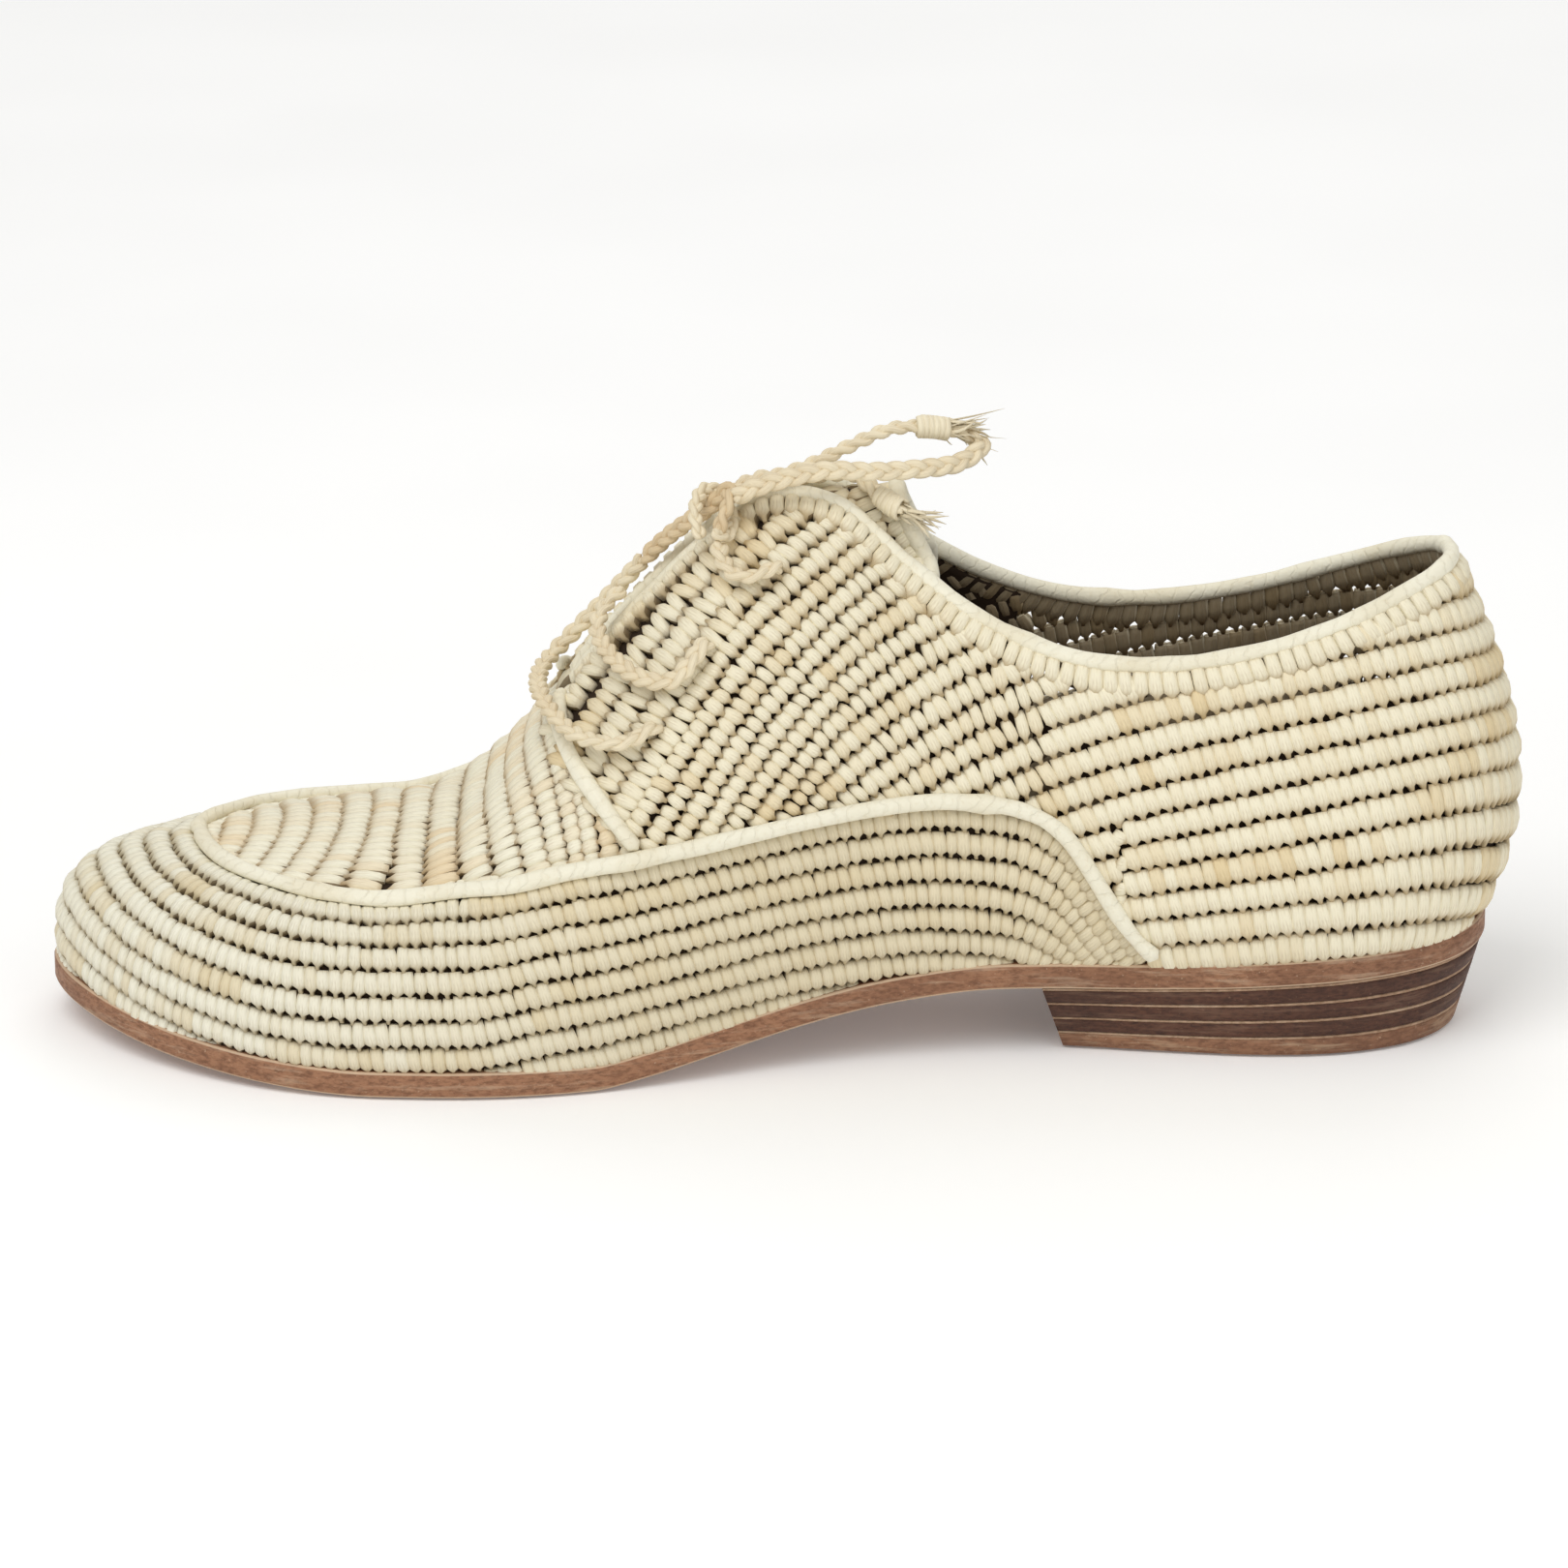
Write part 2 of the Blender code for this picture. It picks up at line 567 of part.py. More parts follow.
def half_oval():
    """Profile of a cord that lies on the wall."""
    turn = np.linspace(0, np.pi, CORD_SIDES + 1)
    return [(np.cos(a) * CORD_WIDTH / 2, CORD_CLEAR + np.sin(a) * CORD_RISE) for a in turn]


def circle(radius, sides):
    turn = np.arange(sides) * 2 * np.pi / sides
    return [(np.cos(a) * radius, np.sin(a) * radius) for a in turn]


def stops(first, last):
    """Row numbers for a cord."""
    return np.linspace(first, last, int(round((last - first) * CORD_ROWS)) + 1)


def lay_cord(name, path):
    """Cord on the wall through (side, row, length up the wall, how far the wall is stepped out)."""
    centre, normal = [], []
    for side, p, s, step in path:
        n = wall_normal(side, p, s)
        centre.append(wall_point(side, p, s) + n * step)
        normal.append(n)
    sweep(name, "raffia cord", np.array(centre), np.array(normal), half_oval())


def make_cords():
    rows = np.linspace(WARP_BACK - 2, WARP_BACK, WALL_POINTS)
    first = np.interp(APRON_START, apron_width(LATERAL, rows), rows)
    out = stops(first, LAST)
    path = []
    for side, p in [(LATERAL, p) for p in out] + [(MEDIAL, p) for p in out[-2::-1]]:
        step = QUARTER_STEP * np.clip((FACING_FOOT + PLUG_START - p) / GRID_STEP, 0, 1)
        path.append((side, p, apron_width(side, p), step))
    lay_cord("apron_cord", path)
    for side, name in ((LATERAL, "facing_cord_lateral"), (MEDIAL, "facing_cord_medial")):
        path = []
        for v in np.linspace(FACING_CORD_LOW, FACING_CORD_HIGH, FACING_CORD_STEPS):
            path.append((side, *panel_point(side, FACING_FOOT - FACING_CORD_IN, v), QUARTER_STEP))
        lay_cord(name, path)
    out = stops(0, COLLAR_CORD_END)
    centre, normal = [], []
    for side, p in [(LATERAL, p) for p in out[::-1]] + [(MEDIAL, p) for p in out[1:]]:
        high = wall_height(side, p)
        n = wall_normal(side, p, high)
        up = unit(wall_point(side, p, high) - wall_point(side, p, high - WALL_STEP))
        middle = wall_point(side, p, high) + n * (QUARTER_STEP - WALL) / 2
        centre.append(middle + up * (EDGE_CORD / 2 + RIM_CORD_CLEAR))
        normal.append(n)
    profile = circle(EDGE_CORD / 2, EDGE_CORD_SIDES)
    sweep("collar_cord", "raffia cord", np.array(centre), np.array(normal), profile)


def make_tongue():
    shares = np.linspace(-1, 1, TONGUE_ACROSS)
    verts, skins = [], []
    for depth in (WALL + TONGUE_CLEAR, WALL + TONGUE_CLEAR + TONGUE_THICKNESS):
        skin = []
        for t in np.linspace(0, 1, TONGUE_ALONG):
            bow = TONGUE_BOW * (1 - np.exp(-((shares / TONGUE_BOW_WIDTH) ** 2)))
            p = TONGUE_FRONT + (TONGUE_BACK - TONGUE_FRONT - bow) * t
            arc = shares * (TONGUE_HALF_FRONT + (TONGUE_HALF_BACK - TONGUE_HALF_FRONT) * t)
            crest = np.clip(1 - (arc / TONGUE_CREST) ** 2, 0, 1) ** 2
            start = len(verts)
            verts += list(over(p, arc, TONGUE_RISE * t**TONGUE_RISE_EASE * crest - depth))
            skin.append(list(range(start, start + len(arc))))
        skins.append(skin)
    faces = ring_faces(skins[0], closed=False) + ring_faces(skins[1], closed=False)
    rims = []
    for skin in skins:
        left, right = [row[0] for row in skin[-2:0:-1]], [row[-1] for row in skin[1:-1]]
        rims.append(skin[0] + right + skin[-1][::-1] + left)
    faces += ring_faces(rims)
    make_object("tongue", verts, faces, "raffia")


def smooth(points, steps):
    """Catmull-Rom line through points, steps pieces between each two."""
    points = np.asarray(points, float)
    padded = np.vstack([2 * points[0] - points[1], points, 2 * points[-1] - points[-2]])
    where = np.linspace(1, len(points), (len(points) - 1) * steps + 1)
    return spline(np.vstack([padded, padded[-1:]]), where)


def make_laces():
    for name, rows in BARS.items():
        rows = np.array(rows, float)
        centre = smooth(over(rows[:, 0], rows[:, 1], rows[:, 2]), BAR_STEPS)
        normal = smooth(over_normal(rows[:, 0], rows[:, 1]), BAR_STEPS)
        sweep(name, "raffia braid", centre, normal, circle(LACE / 2, LACE_SIDES))
    for name, rows in CORDS.items():
        points = world(smooth(rows, FREE_STEPS))
        curve = bpy.data.curves.new(name, "CURVE")
        curve.dimensions = "3D"
        line = curve.splines.new("POLY")
        line.points.add(len(points) - 1)
        for spot, point in zip(line.points, points):
            spot.co = (*point, 1)
        curve.bevel_depth = LACE / 2 * MM
        curve.bevel_resolution = 2
        curve.use_fill_caps = True
        add_part(name, curve, "raffia braid")


def stand_at_origin():
    """Parent every part to one empty and move it so that the solid parts stand centred on the origin."""
    root = bpy.data.objects.new("shoe", None)
    bpy.context.scene.collection.objects.link(root)
    bpy.context.view_layer.update()
    corners = []
    for obj in bpy.data.objects:
        if obj.type == "EMPTY":
            continue
        obj.parent = root
        if obj.name not in CORDS:
            corners += [v.co[:] for v in obj.data.vertices]
    corners = np.array(corners)
    low, high = corners.min(0), corners.max(0)
    root.location = (-(low[0] + high[0]) / 2, -(low[1] + high[1]) / 2, -low[2])


def main():
    for obj in list(bpy.data.objects):
        bpy.data.objects.remove(obj)
    make_sole()
    make_heel()
    make_upper()
    make_tongue()
    make_cords()
    make_laces()
    stand_at_origin()


main()
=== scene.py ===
import math

import bmesh
import bpy
import numpy as np
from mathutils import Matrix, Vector


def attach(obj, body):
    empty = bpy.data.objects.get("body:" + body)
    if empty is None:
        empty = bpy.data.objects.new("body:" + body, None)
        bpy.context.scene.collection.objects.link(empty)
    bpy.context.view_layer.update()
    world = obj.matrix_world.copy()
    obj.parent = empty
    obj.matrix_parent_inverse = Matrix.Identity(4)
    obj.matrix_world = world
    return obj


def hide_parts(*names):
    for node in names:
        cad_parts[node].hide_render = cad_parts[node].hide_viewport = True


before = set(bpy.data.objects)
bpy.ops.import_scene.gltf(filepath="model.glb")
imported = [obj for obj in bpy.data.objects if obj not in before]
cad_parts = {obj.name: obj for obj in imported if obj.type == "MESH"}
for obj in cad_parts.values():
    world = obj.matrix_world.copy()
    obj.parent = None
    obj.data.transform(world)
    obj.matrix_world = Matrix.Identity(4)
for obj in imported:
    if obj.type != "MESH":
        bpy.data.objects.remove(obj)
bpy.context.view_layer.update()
print("frame loaded:", len(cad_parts), "solids")

mm = 0.001
lateral, medial = -1, 1

# The last: the same tables as the solids, in millimetres from the heel curve, the heel axis and the floor.
last = {
    "place": (128.1208, 3.769), "archLean": (20, 88),
    "soleThickness": 4.6, "soleEdge": 0.9, "gap": 0.3, "wall": 2.2, "step": 0.8,
    "throat": 13.75, "facingFoot": 11.15, "warpBack": 7.0, "warpFront": 18.0, "warpEase": 1.9,
    "squareBack": 15.0, "squareFade": 4.0, "squareLeast": 0.35, "lowSeam": 7.0,
    "curvePoints": 49, "rowStep": 0.02, "upStep": 0.4,
}
soleLine = [(-4, 15.8), (5, 15.3), (35, 14), (67, 12.9), (90, 12.6), (108, 10.8), (124, 7.9), (140, 4.2),
            (152, 1.5), (162, 0), (200, 0), (217, 0.8), (234, 2.3), (248, 4.2), (260, 6.3)]
# along, half widths outer and inner, rim along, half, height, lean and fall,
# foot leans outer and inner, foot pull, rim pulls outer and inner, apron width
sectionTable = [
    (4.2, 0, 0, 10.2, 0, 83.6, 24, 0, 29, 29, 0.38, 0.34, 0.34, 0),
    (7.0, 11.8, 11.6, 12.3, 7.4, 83.0, 23, 0, 27, 27, 0.38, 0.34, 0.34, 0),
    (15.2, 20.8, 20.2, 18.6, 13.0, 80.6, 20, 0, 24, 24, 0.37, 0.34, 0.34, 0),
    (28.5, 26.4, 25.6, 29.6, 17.8, 76.2, 16, 0, 21, 22, 0.36, 0.34, 0.34, 0),
    (45, 28.2, 26.8, 45, 20.0, 71.4, 13, 0, 18, 22, 0.36, 0.34, 0.34, 0),
    (63, 27.4, 25.2, 62, 20.6, 68.8, 12, 0, 17, 24, 0.36, 0.34, 0.34, 2.0),
    (81, 26.2, 22.6, 78.5, 19.6, 70.0, 16, 0, 18, 28, 0.36, 0.33, 0.33, 24.8),
    (99, 26.6, 20.8, 94, 16.4, 76.0, 26, 0, 18, 31, 0.36, 0.32, 0.32, 31.2),
    (116, 29.0, 20.6, 107.5, 11.6, 85.4, 40, 0, 16, 31, 0.36, 0.30, 0.30, 33.4),
    (131, 33.0, 22.0, 118.5, 7.4, 94.4, 55, 0, 14, 29, 0.36, 0.28, 0.28, 35.0),
    (145, 37.8, 25.2, 131, 4.8, 95.4, 64, 0, 12, 25, 0.36, 0.26, 0.26, 36.0),
    (158, 42.0, 29.3, 142, 4.4, 87.6, 65, 0, 10, 20, 0.36, 0.25, 0.25, 36.4),
    (170, 44.8, 33.4, 152.5, 4.4, 77.0, 65, 0, 9, 15, 0.36, 0.22, 0.22, 35.2),
    (181, 46.0, 36.4, 162.5, 4.4, 66.0, 66, 0, 8, 11, 0.37, 0.18, 0.18, 33.0),
    (192, 46.0, 38.2, 172.5, 4.4, 52.4, 90, 50, 8, 9, 0.40, 0.19, 0.19, 32.6),
    (204, 45.0, 38.6, 182.5, 0, 40.9, 90, 42, 8, 8, 0.45, 0.35, 0.24, 32.4),
    (216, 42.0, 37.4, 192, 0, 38.2, 90, 20, 8, 8, 0.46, 0.56, 0.20, 32.4),
    (228, 36.4, 33.8, 200.5, 0, 36.6, 90, 11, 8, 8, 0.46, 0.67, 0.23, 33.4),
    (239, 28.9, 27.6, 207.5, 0, 35.6, 90, 7, 7, 7, 0.45, 0.72, 0.31, 35.0),
    (248.4, 19.5, 19.0, 212.3, 0, 35.1, 90, 5, 5, 5, 0.42, 0.73, 0.43, 37.0),
    (255, 9.6, 9.4, 215, 0, 34.9, 90, 5, 3, 3, 0.39, 0.72, 0.61, 38.6),
    (257.6, 0, 0, 215.8, 0, 34.8, 90, 5, 2, 2, 0.38, 0.72, 0.72, 39.2),
]
lastRow = len(sectionTable) - 1


def spline(knots, where):
    where = np.clip(np.asarray(where, float), 1.0, len(knots) - 2.000001)
    i = np.floor(where).astype(int)
    t = (where - i)[..., None]
    a, b, c, d = knots[i - 1], knots[i], knots[i + 1], knots[i + 2]
    return 0.5 * (2 * b + (c - a) * t + (2 * a - 5 * b + 4 * c - d) * t**2 + (3 * b - a - 3 * c + d) * t**3)


def monotone(table, where):
    x, y = np.array(table, float).T
    step = np.diff(y) / np.diff(x)
    slope = np.zeros(len(x))
    same = step[:-1] * step[1:] > 0
    slope[1:-1][same] = 2 * step[:-1][same] * step[1:][same] / (step[:-1] + step[1:])[same]
    slope[0], slope[-1] = step[0], step[-1]
    where = np.clip(where, x[0], x[-1])
    i = np.clip(np.searchsorted(x, where) - 1, 0, len(x) - 2)
    h = x[i + 1] - x[i]
    t = (where - x[i]) / h
    start = y[i] * (1 + 2 * t) * (1 - t) ** 2 + slope[i] * h * t * (1 - t) ** 2
    return start + y[i + 1] * t * t * (3 - 2 * t) + slope[i + 1] * h * t * t * (t - 1)


def underSole(along):
    return monotone(soleLine, along)


def signedRows(side):  # one side, with two rows of the other beyond each end
    rows = []
    for k in range(-2, lastRow + 3):
        row = sectionTable[abs(k) if k <= lastRow else 2 * lastRow - k]
        here = side if 0 <= k <= lastRow else -side
        half, lean, pull = (row[i] if here == lateral else row[i + 1] for i in (1, 8, 11))
        rows.append((row[0], here * half, row[3], here * row[4], *row[5:8], lean, row[10], pull, row[13]))
    return np.array(rows, float)


rowsOf = {side: signedRows(side) for side in (lateral, medial)}


def columnsAt(side, p):
    return np.moveaxis(spline(rowsOf[side], np.asarray(p, float) + 2), -1, 0)


def throatShare(p):
    return np.sqrt(np.clip(1 - np.clip(np.asarray(p) - (last["throat"] - 1), 0, 1) ** 2, 0, 1))


def unit(v):
    return v / np.maximum(np.linalg.norm(v, axis=-1, keepdims=True), 1e-12)


def outline(side, p):
    p = np.asarray(p, float)
    step = last["rowStep"]
    a, b = columnsAt(side, p + step)[:2] - columnsAt(side, p - step)[:2]
    along, across = columnsAt(side, p)[:2]
    return along, across, unit(side * np.stack([-b, a], -1))


def section(side, p):  # points up the wall, sole to rim
    p = np.asarray(p, float)
    (_, _, rimAlong, rimHalf, rimHeight, rimLean, rimFall, lean, footPull, rimPull, _) = columnsAt(side, p)
    along, across, out = outline(side, p)
    foot = np.stack([along, across, underSole(along) + last["soleThickness"] + last["gap"]], -1)
    rim = np.stack([rimAlong, rimHalf * throatShare(p), rimHeight], -1)
    chord = np.linalg.norm(rim - foot, axis=-1)[..., None]
    lean, rimLean, rimFall = np.radians(lean), np.radians(np.minimum(rimLean, 90)), np.radians(rimFall)
    first = np.concatenate([out * np.sin(lean)[..., None], np.cos(lean)[..., None]], -1)
    keep = np.clip((p - last["squareBack"]) / last["squareFade"], last["squareLeast"], 1)
    level = unit((rim - foot)[..., :2] * np.stack([keep, np.ones_like(keep)], -1))
    rise = np.cos(rimLean) - np.sin(rimLean) * np.tan(rimFall) * level[..., 0]
    final = unit(np.concatenate([level * np.sin(rimLean)[..., None], rise[..., None]], -1))
    near = foot + first * chord * footPull[..., None]
    far = rim - final * chord * rimPull[..., None]
    t = np.linspace(0, 1, last["curvePoints"])[:, None]
    foot, near, far, rim = (v[..., None, :] for v in (foot, near, far, rim))
    return foot * (1 - t) ** 3 + near * 3 * t * (1 - t) ** 2 + far * 3 * t * t * (1 - t) + rim * t**3


def lengths(points):
    run = np.linalg.norm(np.diff(points, axis=-2), axis=-1)
    return np.concatenate([np.zeros(run.shape[:-1] + (1,)), np.cumsum(run, -1)], -1)


def wallHeight(side, p):
    return lengths(section(side, p))[..., -1]


def wallPoint(side, p, s):  # s millimetres up the wall, also past its rim
    p, s = (np.ravel(v).astype(float) for v in np.broadcast_arrays(p, s))
    curve = section(side, p)
    run = lengths(curve)
    i, k = np.arange(len(s)), np.clip((run < s[:, None]).sum(1), 1, run.shape[1] - 1)
    t = ((s - run[i, k - 1]) / (run[i, k] - run[i, k - 1]))[:, None]
    return curve[i, k - 1] * (1 - t) + curve[i, k] * t


def wallFrame(side, p, s):
    p, s = (np.ravel(v).astype(float) for v in np.broadcast_arrays(p, s))
    dp, ds = last["rowStep"], last["upStep"]
    c = np.clip(s, ds, wallHeight(side, p) - ds)
    a = wallPoint(side, p + dp, c) - wallPoint(side, p - dp, c)
    b = wallPoint(side, p, c + ds) - wallPoint(side, p, c - ds)
    return wallPoint(side, p, s), unit(np.cross(a, b)) * -side


def apronWidth(side, p):
    return np.maximum(columnsAt(side, p)[-1], 0)


def facingWarp(q, v):
    back = np.clip((q - last["warpBack"]) / (last["facingFoot"] - last["warpBack"]), 0, 1)
    front = np.clip((last["warpFront"] - q) / (last["warpFront"] - last["facingFoot"]), 0, 1)
    shift = last["throat"] - last["facingFoot"]
    return q + shift * np.minimum(back, front) * (1 - (1 - v) ** last["warpEase"])


def seamLine(side, p):
    return np.maximum(apronWidth(side, p), last["lowSeam"])


def panelPoint(side, q, v):
    p = facingWarp(q, v)
    low = seamLine(side, p)
    return p, low + (wallHeight(side, p) - low) * v


def overPoint(p, arc):  # the wall closed over the throat, arc minus on the outer side
    out = []
    for row, a in zip(np.ravel(p), np.ravel(arc)):
        side = lateral if a < 0 else medial
        columns = columnsAt(side, row)
        half = abs(columns[3]) * throatShare(row)
        rise = half / (2 * np.tan(np.radians(np.clip(columns[5], *last["archLean"]))))
        arch = np.hypot(half, rise)
        if abs(a) >= arch:
            out.append(wallPoint(side, row, wallHeight(side, row) - (abs(a) - arch))[0])
            continue
        rim = section(side, row)[-1]
        share = abs(a) / arch
        out.append([rim[0], side * half * share, rim[2] + rise * (1 - share**2)])
    return np.array(out)


def overNormal(p, arc):
    p, arc = np.ravel(p), np.ravel(arc)
    dp, ds = last["rowStep"], last["upStep"]
    a = overPoint(p + dp, arc) - overPoint(p - dp, arc)
    b = overPoint(p, arc + ds) - overPoint(p, arc - ds)
    return unit(np.cross(a, b))


def over(p, arc, lift):
    return overPoint(p, arc) + overNormal(p, arc) * np.ravel(lift)[:, None]


def toScene(points):
    x, y, z = np.moveaxis(np.asarray(points, float), -1, 0)
    return np.stack([last["place"][0] - x, last["place"][1] + y, z], -1) * mm


def toSceneDirection(v):
    return np.asarray(v, float) * np.array([-1.0, 1.0, 1.0])


def smoothLine(points, steps):
    points = np.asarray(points, float)
    padded = np.vstack([2 * points[0] - points[1], points, 2 * points[-1] - points[-2]])
    where = np.linspace(1, len(points), (len(points) - 1) * steps + 1)
    return spline(np.vstack([padded, padded[-1:]]), where)


def pick(values, run, at):  # values of a line at these lengths along it
    return np.stack([np.interp(at, run, column) for column in values.T], -1)


def evenLine(points, spacing):  # the same line with points evenly spaced
    run = lengths(points)
    count = max(2, int(round(run[-1] / spacing)) + 1)
    return pick(points, run, np.linspace(0, run[-1], count))


# finishes
class Wire:
    def __init__(self, finish, socket):
        self.finish, self.socket = finish, socket

    def maths(self, operation, other=0.0):
        return self.finish.node("Math", {"operation": operation}, {0: self, 1: other})

    def __add__(self, other):
        return self.maths("ADD", other)

    def __sub__(self, other):
        return self.maths("SUBTRACT", other)

    def __mul__(self, other):
        return self.maths("MULTIPLY", other)

    __radd__ = __add__

    def sine(self):
        return self.maths("SINE")


class Finish:
    def __init__(self, name, **fixed):
        self.material = bpy.data.materials.new(name)
        self.material.use_nodes = True
        self.tree = self.material.node_tree
        self.shader = self.tree.nodes["Principled BSDF"]
        for key, value in fixed.items():
            self.shader.inputs[key.replace("_", " ")].default_value = value

    def feed(self, socket, value):
        if isinstance(value, Wire):
            self.tree.links.new(value.socket, socket)
        else:
            socket.default_value = value

    def node(self, kind, settings=None, sockets=None, out=0):
        made = self.tree.nodes.new("ShaderNode" + kind)
        for key, value in (settings or {}).items():
            setattr(made, key, value)
        for key, value in (sockets or {}).items():
            self.feed(made.inputs[key], value)
        return Wire(self, made.outputs[out])

    def mixColor(self, share, first, second):
        return self.node("Mix", {"data_type": "RGBA"}, {0: share, 6: first, 7: second}, out=2)

    def ramp(self, value, low, high):  # 0 at low, 1 at high, smooth
        return self.node("MapRange", {"interpolation_type": "SMOOTHSTEP"}, {0: value, 1: low, 2: high})

    def place(self):
        return self.node("TexCoord", out="Object")

    def leg(self):
        return self.node("UVMap", {"uv_map": "leg"})

    def axis(self, vector, name):
        return self.node("SeparateXYZ", None, {0: vector}, out=name)

    def scaled(self, vector, scale):
        return self.node("VectorMath", {"operation": "MULTIPLY"}, {0: vector, 1: scale})

    def noise(self, vector, scale, detail, rough=0.55):
        sockets = {"Vector": vector, "Scale": scale, "Detail": detail, "Roughness": rough}
        return self.node("TexNoise", None, sockets)

    def bump(self, height, distance, strength):
        sockets = {"Strength": strength, "Distance": distance, "Height": height}
        self.feed(self.shader.inputs["Normal"], self.node("Bump", None, sockets))

    def done(self, color, roughness=None):
        self.feed(self.shader.inputs["Base Color"], color)
        if roughness is not None:
            self.feed(self.shader.inputs["Roughness"], roughness)
        return self.material


def rgb(*color):  # picture colour, 0 to 255, as a linear colour
    shares = [v / 255 for v in color]
    return tuple(v / 12.92 if v < 0.0404 else ((v + 0.055) / 1.055) ** 2.4 for v in shares) + (1.0,)


def raffiaFinish(name, pale, straw, shade, inner, shadeBehindToe=0.0):
    finish = Finish(name, Specular_IOR_Level=0.3)
    uv = finish.leg()
    around, up = finish.axis(uv, "X"), finish.axis(uv, "Y")
    tint = finish.node("Attribute", {"attribute_name": "tint"}, out="Fac")
    fibre = finish.noise(finish.scaled(uv, (30.0, 1.6, 1.0)), 1.0, 2.0)
    patch = finish.noise(finish.place(), 38.0, 2.0)
    speck = finish.noise(finish.place(), 900.0, 3.0)
    color = finish.mixColor(finish.ramp(tint + patch * 0.5, 0.35, 1.15), pale, straw)
    if shadeBehindToe:  # painted shade: the apron darker behind the toe, where its middle lies in shade
        behind = finish.axis(finish.place(), "X")
        color = finish.mixColor(finish.ramp(behind, -0.11, 0.0) * shadeBehindToe, color, straw)
    color = finish.mixColor(finish.ramp(fibre, 0.46, 0.78) * 0.45, color, shade)
    # painted shade: each stitch darker towards its tucked lower end and a little at its top, where the rows
    # meet
    ends = finish.ramp(up, 0.46, 0.05) * 0.75 + finish.ramp(up, 0.88, 1.0) * 0.25
    color = finish.mixColor(ends, color, shade)
    # painted shade inside the shoe: the inner half of each stitch takes the darker inner colour
    color = finish.mixColor(finish.ramp(around, 0.5, 0.62) * 0.8, color, inner)
    finish.bump(fibre * 0.8 + speck * 0.3, 0.0003, 0.7)
    return finish.done(color, 0.52 + speck * 0.2)


def cordFinish(name, pale, shade):  # a strip of raffia wound round a core
    finish = Finish(name, Specular_IOR_Level=0.3)
    uv = finish.leg()
    around, along = finish.axis(uv, "X"), finish.axis(uv, "Y")
    loose = finish.noise(finish.scaled(uv, (2.0, 130.0, 1.0)), 1.0, 2.0)
    fibre = finish.noise(finish.scaled(uv, (9.0, 900.0, 1.0)), 1.0, 3.0)
    patch = finish.noise(finish.place(), 55.0, 2.0)
    winding = (along * 2300.0 + around * 6.28 + loose * 16.0).sine()
    groove = finish.ramp(winding, 0.78, 1.0)
    worn = finish.ramp(patch, 0.4, 0.7) * 0.35 + finish.ramp(fibre, 0.5, 0.8) * 0.3
    color = finish.mixColor(worn, pale, shade)
    # painted shade in the grooves between the windings
    color = finish.mixColor(groove * 0.1, color, shade)
    finish.bump(fibre * 0.35 + loose * 0.4 - groove * 0.2, 0.0005, 0.8)
    return finish.done(color, 0.5 + patch * 0.2)


def leatherFinish(name, base, dark, pale, grain, edge, line=0.0):
    finish = Finish(name, Specular_IOR_Level=0.35)
    place = finish.place()
    fine = finish.noise(finish.scaled(place, (1.0, 1.0, 2.6)), grain, 6.0, 0.7)
    broad = finish.noise(place, 28.0, 3.0)
    speck = finish.noise(place, grain * 2.7, 2.0)
    streak = finish.noise(finish.scaled(place, (0.3, 0.3, 3.0)), 240.0, 4.0, 0.65)
    color = finish.mixColor(finish.ramp(fine, 0.38, 0.68) * 0.75, base, dark)
    color = finish.mixColor(finish.ramp(broad, 0.5, 0.72) * 0.45, color, dark)
    color = finish.mixColor(finish.ramp(streak, 0.5, 0.7) * edge * 0.8, color, pale)
    color = finish.mixColor(finish.ramp(speck, 0.64, 0.78) * edge, color, pale)
    if line:
        up = finish.axis(finish.leg(), "Y")
        rim = finish.ramp(up + broad * 0.05, 0.94, 0.98) + finish.ramp(up - broad * 0.05, 0.09, 0.05)
        color = finish.mixColor(rim * line, color, pale)
    finish.bump(fine * 0.7 + speck * 0.3, 0.0004, 0.6)
    return finish.done(color, 0.5 + fine * 0.25)


def plainFinish(name, color, roughness):
    finish = Finish(name, Specular_IOR_Level=0.3)
    cloud = finish.noise(finish.place(), 160.0, 3.0)
    other = tuple(v * 0.6 for v in color[:3]) + (1.0,)
    finish.bump(cloud, 0.0003, 0.4)
    return finish.done(finish.mixColor(finish.ramp(cloud, 0.4, 0.75) * 0.7, color, other), roughness)


